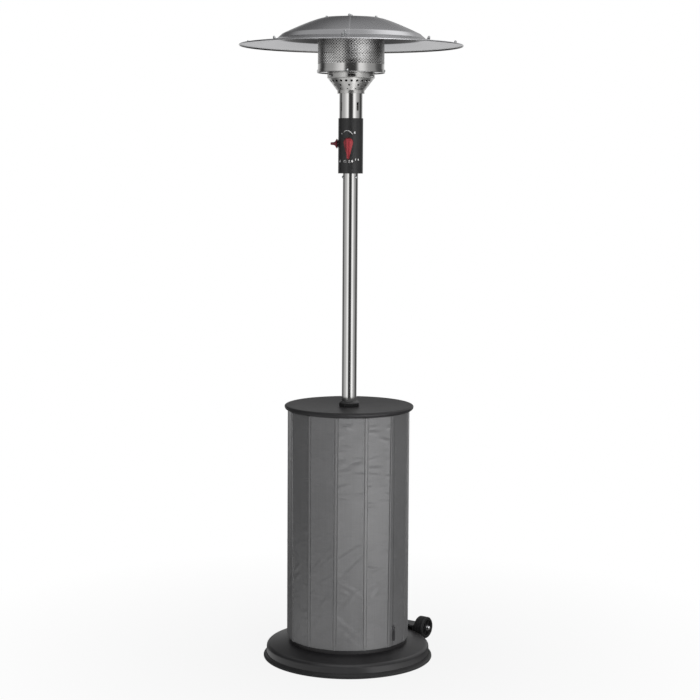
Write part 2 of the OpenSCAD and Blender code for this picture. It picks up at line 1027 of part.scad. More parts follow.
module side_stem() {
  color("#b7babd")
    translate([-igniter_in - 4, 0, axis_z])
      rotate([0, -90, 0])
        cylinder(r = stem_r, h = stem_out - igniter_in - 4);
}

module side_knob() {
  color("#8c2a30")
    translate([-knob_back, 0, axis_z])
      rotate([0, -90, 0])
        rotate([0, 0, 180])
          knob();
}

module tilt_switch() {
  color("#2f5f8a")
    translate([20, 14, head_z + socket_t]) {
      cylinder(r = 9, h = 22);
      translate([0, 0, 22])
        cylinder(r = 3, h = 5);
    }
}

// Burner

module feed_pipe() {
  z0 = axis_z + valve_r + 8;
  color("#b8743f")
    translate([0, 0, z0])
      ring(4, 3, jet_z - z0);
}

module jet_bracket() {
  color("#8b8e92")
    difference() {
      translate([0, 0, jet_z])
        cylinder(r = neck_r - neck_wall - seat, h = 2);
      around(3)
        translate([22, 0, jet_z - cut])
          cylinder(r = 9, h = 2 + 2 * cut);
      translate([0, 0, jet_z - cut])
        cylinder(r = 2.5, h = 2 + 2 * cut);
    }
}

module gas_jet() {
  color("#c9a24a")
    translate([0, 0, jet_z + 2])
      difference() {
        union() {
          hex(14, 8);
          translate([0, 0, 8])
            cylinder(r1 = 5, r2 = 3, h = 6);
        }
        translate([0, 0, -cut])
          cylinder(r = 1, h = 16);
      }
}

module mixing_tube() {
  z0 = jet_z + 6;
  color("#9c9fa3")
    difference() {
      union() {
        translate([0, 0, z0])
          cylinder(r = mixing_r, h = dish_z + dish_t - z0);
        translate([0, 0, dish_z + dish_t])
          cylinder(r = 34, h = 2);
      }
      translate([0, 0, z0 - cut])
        cylinder(r = mixing_r - 1.2, h = dish_z + dish_t + 2 - z0 + 2 * cut);
    }
}

module burner_head() {
  z0 = dish_z + dish_t + 2;
  color("#84878b")
    difference() {
      union() {
        translate([0, 0, z0])
          cylinder(r = burner_r, h = 34);
        translate([0, 0, z0 + 34])
          cylinder(r1 = burner_r, r2 = 20, h = 10);
      }
      translate([0, 0, z0 - cut])
        cylinder(r = mixing_r - 1.2, h = 3 + cut);
      translate([0, 0, z0 + 2])
        cylinder(r = burner_r - 1.5, h = 31);
      around(16)
        translate([burner_r - 5, 0, z0 + 24])
          rotate([0, 90, 0])
            cylinder(r = 2.5, h = 10);
    }
}

// Pilot flame group beside the burner: bracket, pilot nozzle, spark rod and sensor
module pilot_burner() {
  color("#a5a7aa")
    rotate([0, 0, az(30)])
      translate([0, 0, dish_z + dish_t]) {
        translate([54, -16, 0])
          cube([16, 32, 2]);
        translate([62, 0, cut])
          cylinder(r = 4, h = 34);
        translate([60, -10, cut])
          cylinder(r = 2, h = 40);
        translate([60, 10, cut])
          cylinder(r = 2.5, h = 44);
      }
}

// Vent cone: a collar on the neck tube, a perforated slope and a slotted upper band
function cone_at(z) = cone_low_r + (cone_r - 2.8 - cone_low_r) * (z - cone_z0) / cone_h;

module vent_cone() {
  slope = atan((cone_r - 2.8 - cone_low_r) / cone_h);
  rows = [[24, 8.6, 0.73, 0], [12, 7, 0.385, 7.5], [12, 4.4, 0.08, 0]];
  slot_w = 25;
  slot_h = 5;
  low_in = neck_r + seat;
  color("#c0c3c7")
    difference() {
      rotate_extrude()
        polygon([
          [low_in, cone_z0 - collar_h], [collar_r, cone_z0 - collar_h], [collar_r, cone_z0],
          [cone_low_r, cone_z0], [cone_r - 2.8, cone_z1],
          [cone_r, cone_z1 + 1.5], [cone_r, dish_z], [cone_r - sheet_t, dish_z],
          [cone_r - sheet_t, cone_z1 + 1.5 + sheet_t], [cone_r - 2.8 - sheet_t, cone_z1 + sheet_t],
          [cone_low_r - sheet_t, cone_z0 + sheet_t], [low_in, cone_z0 + sheet_t]
        ]);
      for (row = rows) {
        z = cone_z0 + row[2] * cone_h + 1.5;
        around(row[0], az(-3.3) + row[3])
          translate([cone_at(z), 0, z])
            rotate([0, 90 + slope, 0])
              translate([0, 0, -5])
                cylinder(d = row[1], h = 10, $fn = 24);
      }
      around(6, az(11.7))
        translate([cone_r - 6, -slot_w / 2, cone_z1 + 6])
          cube([12, slot_w, slot_h]);
    }
}

// Emitter

module emitter_holes(z, first) {
  around(4, az(first))
    translate([screen_in - 8, 0, z])
      rotate([0, 90, 0])
        cylinder(d = m4 + 2 * bolt_gap, h = 20, $fn = 24);
}

module emitter_base() {
  color("#b5b8bc")
    difference() {
      union() {
        translate([0, 0, dish_z])
          cylinder(r = screen_in - seat, h = dish_t);
        translate([0, 0, dish_z])
          ring(screen_in - seat, screen_in - seat - 1.2, lip_h);
      }
      translate([0, 0, dish_z - cut])
        cylinder(r = mixing_r + seat, h = dish_t + 2 * cut);
      emitter_holes(screw_z, screen_screw_front);
    }
}

module emitter_screen() {
  color("#c2c5c9")
    difference() {
      union() {
        translate([0, 0, dish_z])
          ring(screen_r, screen_in, screen_h);
        translate([0, 0, dish_z - 2])
          ring(screen_r + 1.4, screen_in, band_h);
        translate([0, 0, dish_z - 2])
          ring(screen_r + 1.4 + band_bead, screen_in, 3);
      }
      emitter_holes(screw_z, screen_screw_front);
      emitter_holes(top_screw_z, top_screw_front);
    }
}

module emitter_cap() {
  color("#b5b8bc")
    difference() {
      union() {
        translate([0, 0, screen_z1])
          cylinder(r = screen_r + 1, h = cap_t);
        translate([0, 0, screen_z1 - lip_h])
          ring(screen_in - seat, screen_in - seat - 1.2, lip_h + 0.5);
      }
      emitter_holes(top_screw_z, top_screw_front);
      standoff_holes(screen_z1 - cut, cap_t + 2 * cut);
    }
}

module emitter_screws() {
  color("#d5d7da") {
    around(4, az(screen_screw_front))
      emitter_screw(screw_z, screen_r + 1.4);
    around(4, az(top_screw_front))
      emitter_screw(top_screw_z, screen_r);
  }
}

module emitter_screw(z, r) {
  translate([r + 0.15, 0, z])
    rotate([0, 90, 0])
      dome(4.2, 2.4);
  translate([screen_in - 5, 0, z])
    rotate([0, 90, 0])
      cylinder(d = m4, h = r - screen_in + 5.6);
}

// Reflector

// Height of the panel's lower face above the rim plane at radius r
dome_r = foot_r - 15;
dome_low = 38;
foot_h = 23;
rim_h = 2.5;
function panel_h(r) =
  r <= crown_r ? dome_h
  : r <= dome_r
    ? dome_h - (dome_h - dome_low) * pow((r - crown_r) / (dome_r - crown_r), 1.35)
  : r <= foot_r
    ? dome_low + (foot_h - dome_low) * (r - dome_r) / (foot_r - dome_r)
  : rim_h + (foot_h - rim_h) * pow(max(0, 1 - (r - foot_r) / (rim_r - foot_r)), 1.8);

function steps(a, b, n) = [for (i = [1 : n]) a + (b - a) * i / n];
panel_rs = concat(
  [inner_r, crown_r], steps(crown_r, dome_r, 10), [foot_r],
  steps(foot_r, rim_r - rim_bead, 8)
);
lip_rs = [for (r = concat([lip_in], panel_rs, [lip_out])) if (r >= lip_in && r <= lip_out) r];

// Section of a sheet that follows the panel between two heights above its lower face
module sheet_plan(rs, low, high) {
  polygon(concat(
    [for (r = rs) [r, rim_z + panel_h(r) + low]],
    [for (i = [len(rs) - 1 : -1 : 0]) [rs[i], rim_z + panel_h(rs[i]) + high]]
  ));
}

function slope_at(r) = atan((panel_h(r - 1) - panel_h(r + 1)) / 2);

// Places children square to the panel at radius r, on its lower face
module on_panel(r, a) {
  rotate([0, 0, a])
    translate([r, 0, rim_z + panel_h(r)])
      rotate([0, slope_at(r), 0])
        children();
}

module standoff_holes(z, h) {
  around(4, seam_az - lip_a / 2)
    translate([standoff_r, 0, z])
      cylinder(d = m6 + 2 * bolt_gap, h = h);
}

module reflector_panel() {
  raised = panel_t + seat;
  difference() {
    union() {
      rotate([0, 0, seam_gap_a])
        rotate_extrude(angle = 90 - 2 * seam_gap_a) {
          sheet_plan(panel_rs, 0, panel_t);
          translate([rim_r - rim_bead, rim_z + rim_h])
            circle(r = rim_bead, $fn = 32);
        }
      rotate([0, 0, seam_gap_a])
        rotate_extrude(angle = 1.2)
          sheet_plan(lip_rs, panel_t / 2, raised + panel_t);
      rotate([0, 0, -lip_a])
        rotate_extrude(angle = lip_a + 1)
          sheet_plan(lip_rs, raised, raised + panel_t);
    }
    for (r = seam_screw_r)
      for (a = [-lip_a / 2, 90 - lip_a / 2])
        on_panel(r, a)
          translate([0, 0, -4])
            cylinder(d = m5 + 2 * bolt_gap, h = 12, $fn = 24);
    rotate([0, 0, 90 - lip_a / 2])
      translate([standoff_r, 0, rim_z + dome_h - 20])
        cylinder(d = m6 + 2 * bolt_gap, h = 40, $fn = 24);
  }
}

module place_panel(k) {
  color("#b4b6b8")
    rotate([0, 0, seam_az + 90 * k])
      reflector_panel();
}

module panel_right() { place_panel(0); }
module panel_rear() { place_panel(1); }
module panel_left() { place_panel(2); }
module panel_front() { place_panel(3); }

// Hub: a plate under the crown with the four stand-offs that carry it
module reflector_hub() {
  color("#aeb1b4")
    difference() {
      union() {
        translate([0, 0, hub_z])
          cylinder(r = hub_plate_r, h = hub_t);
        around(4, seam_az - lip_a / 2)
          translate([standoff_r, 0, cap_z1])
            cylinder(r = 8, h = standoff_len + hub_t / 2);
      }
      standoff_holes(cap_z1 - cut, standoff_len + hub_t + 2 * cut);
    }
}

// Cover plate over the inner ends of the panels, with the nut at its middle
module crown_cap() {
  nut_h = 7;
  color("#b4b6b8")
    difference() {
      union() {
        translate([0, 0, crown_z])
          cylinder(r = crown_r - 2, h = crown_cap_t);
        translate([0, 0, crown_z])
          cylinder(r = 9, h = crown_cap_t + 1.5);
        translate([0, 0, crown_z + crown_cap_t])
          hex(10, nut_h);
        translate([0, 0, crown_z + crown_cap_t + nut_h])
          dome(5, 5.5);
      }
      standoff_holes(crown_z - cut, crown_cap_t + 2 * cut);
    }
}

module reflector_screws() {
  top = crown_z + crown_cap_t;
  color("#d5d7da")
    around(4, seam_az - lip_a / 2) {
      translate([standoff_r, 0, 0]) {
        translate([0, 0, top])
          dome(6, 4);
        translate([0, 0, screen_z1 - 6])
          cylinder(d = m6, h = top + 1 - screen_z1 + 6);
      }
      for (r = seam_screw_r)
        on_panel(r, 0) {
          translate([0, 0, 2 * panel_t + seat + 0.15]) {
            hex(8, 4.5);
            translate([0, 0, 4.5])
              dome(4, 4);
          }
          translate([0, 0, -0.3])
            cylinder(d = m5, h = 2 * panel_t + 1.5);
          translate([0, 0, -2.6])
            cylinder(r = 4, h = 2.4);
        }
    }
}

base_shell();
base_trim();
ballast_slab();
foot_ring();
upright_a();
upright_b();
upright_c();
top_frame();
frame_bolts();
lid();
cover();
cover_stays();
zip_teeth();
zip_slider();
zip_pull();
wheel_bracket();
bracket_bolts();
wheel_axle();
axle_caps();
wheel_right_hub();
wheel_right_tyre();
wheel_left_hub();
wheel_left_tyre();
post();
post_flange();
post_collar();
head_socket();
post_bolts();
gas_inlet();
gas_pipe();
neck_tube();
housing_front();
housing_rear();
housing_screws();
gas_valve();
valve_rotor();
front_stem();
front_knob();
igniter();
side_stem();
side_knob();
tilt_switch();
feed_pipe();
jet_bracket();
gas_jet();
mixing_tube();
burner_head();
pilot_burner();
vent_cone();
emitter_base();
emitter_screen();
emitter_cap();
emitter_screws();
reflector_hub();
panel_front();
panel_right();
panel_rear();
panel_left();
crown_cap();
reflector_screws();
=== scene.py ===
import math

import bmesh
import bpy
import numpy as np
from mathutils import Matrix, Vector


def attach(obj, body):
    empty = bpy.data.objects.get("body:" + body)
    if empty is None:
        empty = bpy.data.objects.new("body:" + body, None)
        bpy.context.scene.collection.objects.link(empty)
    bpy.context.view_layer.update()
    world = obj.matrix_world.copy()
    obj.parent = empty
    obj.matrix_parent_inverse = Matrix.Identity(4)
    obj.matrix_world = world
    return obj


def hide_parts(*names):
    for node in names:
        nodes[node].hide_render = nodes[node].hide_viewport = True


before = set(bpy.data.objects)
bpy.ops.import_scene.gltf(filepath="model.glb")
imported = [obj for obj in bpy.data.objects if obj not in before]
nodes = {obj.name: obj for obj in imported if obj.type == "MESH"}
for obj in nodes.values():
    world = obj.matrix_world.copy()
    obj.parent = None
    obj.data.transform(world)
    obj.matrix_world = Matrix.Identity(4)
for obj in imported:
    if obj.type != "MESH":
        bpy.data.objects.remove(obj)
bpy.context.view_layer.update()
scene = bpy.context.scene
scene.view_settings.view_transform = "Standard"
MM = 0.001
RAD = math.pi / 180


# Camera: the photograph's viewpoint, from the front and a little to the right

CAM_AZ = 10 * RAD
CAM_SIDE = Vector((math.sin(CAM_AZ), -math.cos(CAM_AZ), 0))


def make_camera():
    reach, height, tilt, roll = 5.744, 1.688, 6.26 * RAD, 0.35 * RAD
    focal_px = 1706
    aim = 0.6 / focal_px  # the post stands a little left of the frame's middle
    data = bpy.data.cameras.new("camera")
    data.sensor_width, data.lens = 36, 87.7
    data.clip_end = 200
    cam = bpy.data.objects.new("camera", data)
    scene.collection.objects.link(cam)
    up = Vector((0, 0, 1))
    level = -CAM_SIDE
    right = level.cross(up)
    level = (level + aim * right).normalized()
    right = level.cross(up)
    ahead = level * math.cos(tilt) - up * math.sin(tilt)
    over = right.cross(ahead)
    side = right * math.cos(roll) + over * math.sin(roll)
    over = side.cross(ahead)
    turn = Matrix((side, over, -ahead)).transposed()
    cam.matrix_world = Matrix.Translation(CAM_SIDE * reach + up * height) @ turn.to_4x4()
    scene.camera = cam


make_camera()


# Node helpers

def node(tree, kind, links=None, **attrs):
    made = tree.nodes.new("ShaderNode" + kind)
    for key, value in attrs.items():
        setattr(made, key, value)
    for key, value in (links or {}).items():
        if isinstance(value, bpy.types.NodeSocket):
            tree.links.new(value, made.inputs[key])
        else:
            made.inputs[key].default_value = value
    return made


def math_node(tree, op, a, b=0.0, c=0.0):
    return node(tree, "Math", {0: a, 1: b, 2: c}, operation=op).outputs[0]


def ramp(tree, fac, stops):
    made = node(tree, "ValToRGB", {"Fac": fac})
    items = made.color_ramp.elements
    while len(items) < len(stops):
        items.new(0.5)
    for item, (pos, value) in zip(items, stops):
        item.position = pos
        rgb = value if hasattr(value, "__len__") else (value,) * 3
        item.color = (*rgb, 1)
    return made.outputs["Color"]


def map_range(tree, value, low, high, to_low=0.0, to_high=1.0, how="LINEAR"):
    return node(tree, "MapRange", {"Value": value, 1: low, 2: high, 3: to_low, 4: to_high},
                interpolation_type=how).outputs[0]


def noise(tree, vector, scale, detail, rough=0.5):
    return node(tree, "TexNoise", {"Vector": vector, "Scale": scale, "Detail": detail,
                                   "Roughness": rough}).outputs["Fac"]


def from_axis(tree, x, y):
    """How far a point is from the post's axis, never quite 0."""
    squares = math_node(tree, "ADD", math_node(tree, "MULTIPLY", x, x), math_node(tree, "MULTIPLY", y, y))
    return math_node(tree, "MAXIMUM", math_node(tree, "SQRT", squares), 1e-4)


def mirror_rays(tree):
    """1 for the rays that metal, gloss or glass sends on, and 0 for the rest."""
    path = node(tree, "LightPath").outputs
    return math_node(tree, "MAXIMUM", path["Is Glossy Ray"], path["Is Transmission Ray"])


def new_material(name):
    mat = bpy.data.materials.new(name)
    mat.use_nodes = True
    return mat, mat.node_tree


def mix_colour(tree, fac, a, b, how="MIX"):
    made = node(tree, "Mix", {0: fac, 6: a, 7: b}, data_type="RGBA", blend_type=how)
    return made.outputs[2]


def rgba(c):
    return (*c, 1.0)


def coords(tree, kind, fine, slow):
    """Coordinates, per metre, in which a grain runs: rings round the axis on a wall, rings on a
    spun sheet, lines along the height, or the same every way."""
    at = node(tree, "TexCoord").outputs["Object"]
    if kind == "even":
        scale = (fine, fine, fine)
    elif kind == "length":
        scale = (fine, fine, slow)
    else:
        x, y, z = node(tree, "SeparateXYZ", {0: at}).outputs
        r = from_axis(tree, x, y)
        at = node(tree, "CombineXYZ", {
            0: math_node(tree, "DIVIDE", x, r), 1: math_node(tree, "DIVIDE", y, r),
            2: z if kind == "rings" else r}).outputs[0]
        scale = (slow, slow, fine)
    return node(tree, "Mapping", {"Vector": at, "Scale": scale}).outputs[0]


def inward(tree, none, full):
    """How far faces look towards the post's axis: 0 at none and 1 at full, each the cosine between a face's normal
    and the way out from the axis."""
    x, y, _ = node(tree, "SeparateXYZ", {0: node(tree, "TexCoord").outputs["Object"]}).outputs
    out = node(tree, "VectorMath", {0: node(tree, "CombineXYZ", {0: x, 1: y}).outputs[0]}, operation="NORMALIZE")
    facing = node(tree, "VectorMath", {0: out.outputs[0], 1: node(tree, "NewGeometry").outputs["True Normal"]},
                  operation="DOT_PRODUCT").outputs["Value"]
    return map_range(tree, facing, none, full)


def surface(name, colour, rough, metallic=0.0, grain=("even", 900, 0), depth=0.02, tone=0.12, rough_var=0.08,
            cloudy=14, tint=None, painted_shade=None, painted_shade_at=(0.15, -0.3), **sockets):
    """A finish with a fine grain in bump and roughness, and a slow drift of tone over it. The shade colour, if given,
    is
    painted shade: a darker colour on the faces that look inward, towards the axis, where hollows and holes fall in
    shade;
    the range after it gives where that shade starts and where it is full."""
    mat, tree = new_material(name)
    shader = tree.nodes["Principled BSDF"]
    fine = noise(tree, coords(tree, *grain), 1.0, 4.0, 0.6)
    slow = noise(tree, coords(tree, "even", 1, 1), cloudy, 5.0, 0.55)
    dark = tuple(v * (1 - tone) for v in colour)
    light = tint or tuple(min(1, v * (1 + tone)) for v in colour)
    drift = ramp(tree, slow, [(0.3, dark), (0.72, light)])
    speck = ramp(tree, fine, [(0.25, 1 - tone * 0.6), (0.75, 1.0)])
    base = mix_colour(tree, 1.0, drift, speck, "MULTIPLY")
    # Painted shade: faces that look towards the axis take the darker shade colour.
    if painted_shade:
        base = mix_colour(tree, inward(tree, *painted_shade_at), base, rgba(painted_shade))
    tree.links.new(base, shader.inputs["Base Color"])
    both = math_node(tree, "ADD", math_node(tree, "MULTIPLY", fine, 0.65), math_node(tree, "MULTIPLY", slow, 0.35))
    tree.links.new(map_range(tree, both, 0.3, 0.7, max(0.02, rough - rough_var), rough + rough_var),
                   shader.inputs["Roughness"])
    bump = node(tree, "Bump", {"Height": fine, "Strength": 0.35, "Distance": depth * MM})
    tree.links.new(bump.outputs[0], shader.inputs["Normal"])
    shader.inputs["Metallic"].default_value = metallic
    for key, value in sockets.items():
        shader.inputs[key.replace("_", " ")].default_value = value
    return mat


def cloth_material(name, colour, pitch, sheen, gloss):
    """Plain weave: two sets of yarns that pass over and under each other, with slubs and a slow
    drift of tone. The yarns run round the cover and up it."""
    cover_r = 0.2085
    mat, tree = new_material(name)
    shader = tree.nodes["Principled BSDF"]
    at = node(tree, "TexCoord").outputs["Object"]
    x, y, z = node(tree, "SeparateXYZ", {0: at}).outputs
    turn = math_node(tree, "MULTIPLY", math_node(tree, "ARCTAN2", y, x), cover_r)
    wave = 2 * math.pi / (pitch * MM)
    weft = math_node(tree, "SINE", math_node(tree, "MULTIPLY", z, wave))
    warp = math_node(tree, "SINE", math_node(tree, "MULTIPLY", turn, wave))
    weave = math_node(tree, "MULTIPLY_ADD", math_node(tree, "MULTIPLY", weft, warp), 0.5, 0.5)
    slub = noise(tree, coords(tree, "rings", 650, 9), 1.0, 3.0)
    rise = noise(tree, coords(tree, "length", 420, 5), 1.0, 3.0)
    slow = noise(tree, at, 9.0, 5.0)
    yarn = math_node(tree, "ADD", math_node(tree, "MULTIPLY", slub, 0.5), math_node(tree, "MULTIPLY", rise, 0.5))
    low = tuple(v * 0.86 for v in colour)
    high = tuple(v * 1.12 for v in colour)
    base = ramp(tree, yarn, [(0.32, low), (0.68, high)])
    over = ramp(tree, weave, [(0.0, 0.82), (1.0, 1.04)])
    drift = ramp(tree, slow, [(0.3, 0.93), (0.7, 1.05)])
    base = mix_colour(tree, 1.0, mix_colour(tree, 1.0, base, over, "MULTIPLY"), drift, "MULTIPLY")
    tree.links.new(base, shader.inputs["Base Color"])
    tree.links.new(map_range(tree, yarn, 0.3, 0.7, 0.34, 0.44), shader.inputs["Roughness"])
    height = math_node(tree, "ADD", weave, math_node(tree, "MULTIPLY", yarn, 0.8))
    bump = node(tree, "Bump", {"Height": height, "Strength": 0.4, "Distance": 0.1 * MM})
    tree.links.new(bump.outputs[0], shader.inputs["Normal"])
    shader.inputs["Sheen Weight"].default_value = sheen
    shader.inputs["Sheen Roughness"].default_value = 0.4
    shader.inputs["Specular IOR Level"].default_value = gloss
    return mat


MATS = {
    "paint": surface("paint_black", (0.018, 0.0175, 0.0185), 0.37, grain=("even", 1500, 0), depth=0.03, tone=0.2,
                     rough_var=0.05, Specular_IOR_Level=0.5),
    # The lid's black is a touch lighter than the base's black: painted light on the same paint. Its rougher, less
    # glossy finish is its own.
    "lid_paint_painted_light": surface("lid_black_painted_light", (0.02, 0.0195, 0.0205), 0.45, grain=("even", 1500, 0), depth=0.04, tone=0.22,
                         rough_var=0.05, Specular_IOR_Level=0.36),
    "rubber": surface("edge_rubber", (0.012, 0.012, 0.0125), 0.5, grain=("rings", 2500, 30), depth=0.03, tone=0.25,
                      rough_var=0.08, Specular_IOR_Level=0.4),
    "stone": surface("cast_ballast", (0.3, 0.29, 0.27), 0.9, grain=("even", 500, 0), depth=0.5, tone=0.25),
    "galvanised": surface("galvanised", (0.42, 0.43, 0.45), 0.42, 1.0, grain=("even", 140, 0), depth=0.05, tone=0.18),
    "cloth": cloth_material("cover_weave", (0.132, 0.132, 0.134), 1.7, 0.05, 1.0),
    "tape": cloth_material("zip_tape", (0.15, 0.15, 0.152), 1.1, 0.05, 0.6),
    "webbing": cloth_material("pull_webbing", (0.035, 0.035, 0.037), 1.2, 0.1, 0.35),
    "coil": surface("zip_coil", (0.12, 0.12, 0.122), 0.42, grain=("even", 2600, 0), depth=0.03, tone=0.15),
    "stay": surface("stay_plastic", (0.6, 0.6, 0.57), 0.5, grain=("length", 1500, 30), depth=0.03),
    "plastic": surface("black_plastic", (0.013, 0.013, 0.0135), 0.4, grain=("even", 2600, 0), depth=0.04, tone=0.18,
                       rough_var=0.06, Specular_IOR_Level=0.7),
    "thread": surface("thread", (0.1, 0.1, 0.102), 0.7, grain=("even", 3000, 0), depth=0.05),
    "nickel": surface("dark_nickel", (0.32, 0.32, 0.33), 0.3, 1.0, grain=("even", 1800, 0), depth=0.02),
    "tyre": surface("tyre_rubber", (0.013, 0.013, 0.0135), 0.62, grain=("even", 1700, 0), depth=0.06, tone=0.25),
    "bright": surface("bright_plate", (0.82, 0.82, 0.83), 0.12, 1.0, grain=("even", 900, 0), depth=0.004, tone=0.06,
                      rough_var=0.04),
    "stainless": surface("polished_stainless", (0.66, 0.655, 0.645), 0.1, 1.0, grain=("length", 2600, 7),
                         depth=0.0015, tone=0.05, rough_var=0.04, cloudy=5),
    # satin, punched and brushed: the faces inside the emitter, its holes and the vent cone are darkened as painted
    # shade.
    "satin": surface("satin_stainless", (0.6, 0.595, 0.585), 0.13, 1.0, grain=("rings", 3200, 3), depth=0.004,
                     tone=0.08, rough_var=0.04, cloudy=9, painted_shade=(0.02, 0.018, 0.016)),
    "punched": surface("punched_steel", (0.6, 0.595, 0.585), 0.29, 1.0, grain=("rings", 2600, 40), depth=0.008,
                       tone=0.1, rough_var=0.03, cloudy=9, painted_shade=(0.012, 0.011, 0.01)),
    "brushed": surface("brushed_steel", (0.69, 0.685, 0.67), 0.27, 1.0, grain=("rings", 2400, 4), depth=0.006,
                       tone=0.08, rough_var=0.025, cloudy=9, painted_shade=(0.012, 0.011, 0.01)),
    "burnt": surface("inner_steel", (0.3, 0.27, 0.24), 0.45, 1.0, grain=("rings", 1800, 6), depth=0.02, tone=0.3,
                     cloudy=30, tint=(0.34, 0.3, 0.33)),
    "zinc": surface("zinc_plate", (0.62, 0.63, 0.64), 0.26, 1.0, grain=("even", 1600, 0), depth=0.012, tone=0.12),
    "alloy": surface("cast_alloy", (0.5, 0.505, 0.51), 0.5, 1.0, grain=("even", 1100, 0), depth=0.06, tone=0.14),
    # The reflector's faces that look steeply towards the axis, under the dome's foot and in the inner turn of the
    # rolled rim, are darkened as painted shade.
    "reflector": surface("spun_aluminium", (0.56, 0.56, 0.575), 0.25, 1.0, grain=("spun", 2200, 3), depth=0.01,
                         tone=0.05, rough_var=0.05, cloudy=6, painted_shade=(0.12, 0.115, 0.11), painted_shade_at=(-0.55, -0.8)),
    "brass": surface("turned_brass", (0.7, 0.5, 0.22), 0.3, 1.0, grain=("even", 1500, 0), depth=0.012, tone=0.15),
    "copper": surface("drawn_copper", (0.68, 0.36, 0.22), 0.32, 1.0, grain=("length", 1800, 20), depth=0.01,
                      tone=0.18),
    "red": surface("red_plastic", (0.36, 0.04, 0.05), 0.38, grain=("even", 1800, 0), depth=0.015, tone=0.1,
                   rough_var=0.05),
    # The side grip's colour is the front grip's red plastic darkened as painted shade, for the side that faces away
    # from the light.
    "red_painted_shade": surface("red_plastic_painted_shade", (0.14, 0.018, 0.028), 0.45, grain=("even", 1800, 0), depth=0.015, tone=0.12,
                      rough_var=0.05),
    "blue": surface("switch_plastic", (0.08, 0.2, 0.36), 0.45, grain=("even", 1800, 0), depth=0.03),
    "print": surface("white_print", (0.78, 0.78, 0.77), 0.5, grain=("even", 2200, 0), depth=0.01, tone=0.08),
}

NODE_MATS = {
    "paint": "base_shell foot_ring top_frame lid wheel_bracket",
    "rubber": "base_trim",
    "stone": "ballast_slab",
    "galvanised": "upright_a upright_b upright_c",
    "cloth": "cover",
    "stay": "cover_stays",
    "nickel": "zip_slider",
    "webbing": "zip_pull",
    "bright": "axle_caps",
    "tyre": "wheel_right_tyre wheel_left_tyre",
    "plastic": "zip_teeth wheel_right_hub wheel_left_hub post_collar housing_front housing_rear igniter",
    "zinc": "frame_bolts bracket_bolts wheel_axle post_flange post_bolts housing_screws front_stem side_stem"
            " jet_bracket emitter_screws reflector_screws",
    "stainless": "post neck_tube",
    "alloy": "head_socket gas_valve",
    "brass": "gas_inlet valve_rotor gas_jet",
    "copper": "gas_pipe feed_pipe",
    "red": "front_knob side_knob",
    "blue": "tilt_switch",
    "burnt": "mixing_tube burner_head pilot_burner",
    "brushed": "vent_cone",
    "satin": "emitter_base emitter_screen emitter_cap reflector_hub",
    "reflector": "panel_front panel_right panel_rear panel_left crown_cap",
}
for mat, names in NODE_MATS.items():
    for name in names.split():
        nodes[name].data.materials.clear()
        nodes[name].data.materials.append(MATS[mat])


# Mesh helpers

class Mesh:
    """Gathers vertices, in millimetres, and faces of one piece."""

    def __init__(self):
        self.verts, self.faces = [], []

    def grid(self, rings, closed_u=False, closed_v=False, cap=False):
        """Faces between rows of points. closed_u joins the ends of a row, closed_v the last row to the
        first, and cap closes the first and last row."""
        start, n = len(self.verts), len(rings[0])
        for ring in rings:
            self.verts.extend(tuple(p) for p in ring)
        rows = len(rings)
        for j in range(rows if closed_v else rows - 1):
            a, b = start + j * n, start + (j + 1) % rows * n
            for i in range(n if closed_u else n - 1):
                k = (i + 1) % n
                self.faces.append((a + i, a + k, b + k, b + i))
        if cap:
            self.faces.append(tuple(start + i for i in range(n)))
            self.faces.append(tuple(start + (rows - 1) * n + i for i in range(n)))

    def lathe(self, section, a0=0.0, a1=360.0, steps=192, closed=True):
        """Turns a section of (radius, height) points about the axis, from a0 to a1 degrees."""
        whole = abs(a1 - a0 - 360) < 1e-6
        count = steps if whole else steps + 1
        rings = []
        for i in range(count):
            a = (a0 + (a1 - a0) * i / steps) * RAD
            rings.append([(r * math.cos(a), r * math.sin(a), z) for r, z in section])
        self.grid(rings, closed_u=closed, closed_v=whole, cap=closed and not whole)

    def block(self, low, high, place):
        """A box between two corners, put in place by a function of a point."""
        (x0, y0, z0), (x1, y1, z1) = low, high
        start = len(self.verts)
        for x, y, z in ((x0, y0, z0), (x1, y0, z0), (x1, y1, z0), (x0, y1, z0),
                        (x0, y0, z1), (x1, y0, z1), (x1, y1, z1), (x0, y1, z1)):
            self.verts.append(tuple(place((x, y, z))))
        for f in ((0, 1, 2, 3), (4, 5, 6, 7), (0, 1, 5, 4), (1, 2, 6, 5), (2, 3, 7, 6), (3, 0, 4, 7)):
            self.faces.append(tuple(start + i for i in f))

    def piece(self, name, mat, slot, body="heater", stands_for=(), crease=32):
        mesh = bpy.data.meshes.new(name)
        mesh.from_pydata([(x * MM, y * MM, z * MM) for x, y, z in self.verts], [], self.faces)
        made = bmesh.new()
        made.from_mesh(mesh)
        bmesh.ops.remove_doubles(made, verts=made.verts, dist=1e-6)
        bmesh.ops.recalc_face_normals(made, faces=made.faces)
        made.to_mesh(mesh)
        made.free()
        mesh.materials.append(MATS[mat])
        mesh.polygons.foreach_set("use_smooth", [True] * len(mesh.polygons))
        mesh.set_sharp_from_angle(angle=crease * RAD)
        obj = bpy.data.objects.new(name, mesh)
        scene.collection.objects.link(obj)
        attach(obj, body)
        if stands_for:
            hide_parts(*stands_for)
        return obj


def circle(r, z, count):
    """Points round the vertical axis at a height."""
    return [(r * math.cos(2 * math.pi * i / count), r * math.sin(2 * math.pi * i / count), z) for i in range(count)]


def turned_by(p, a):
    """A point turned about the vertical axis."""
    x, y, z = p
    return (x * math.cos(a) - y * math.sin(a), x * math.sin(a) + y * math.cos(a), z)


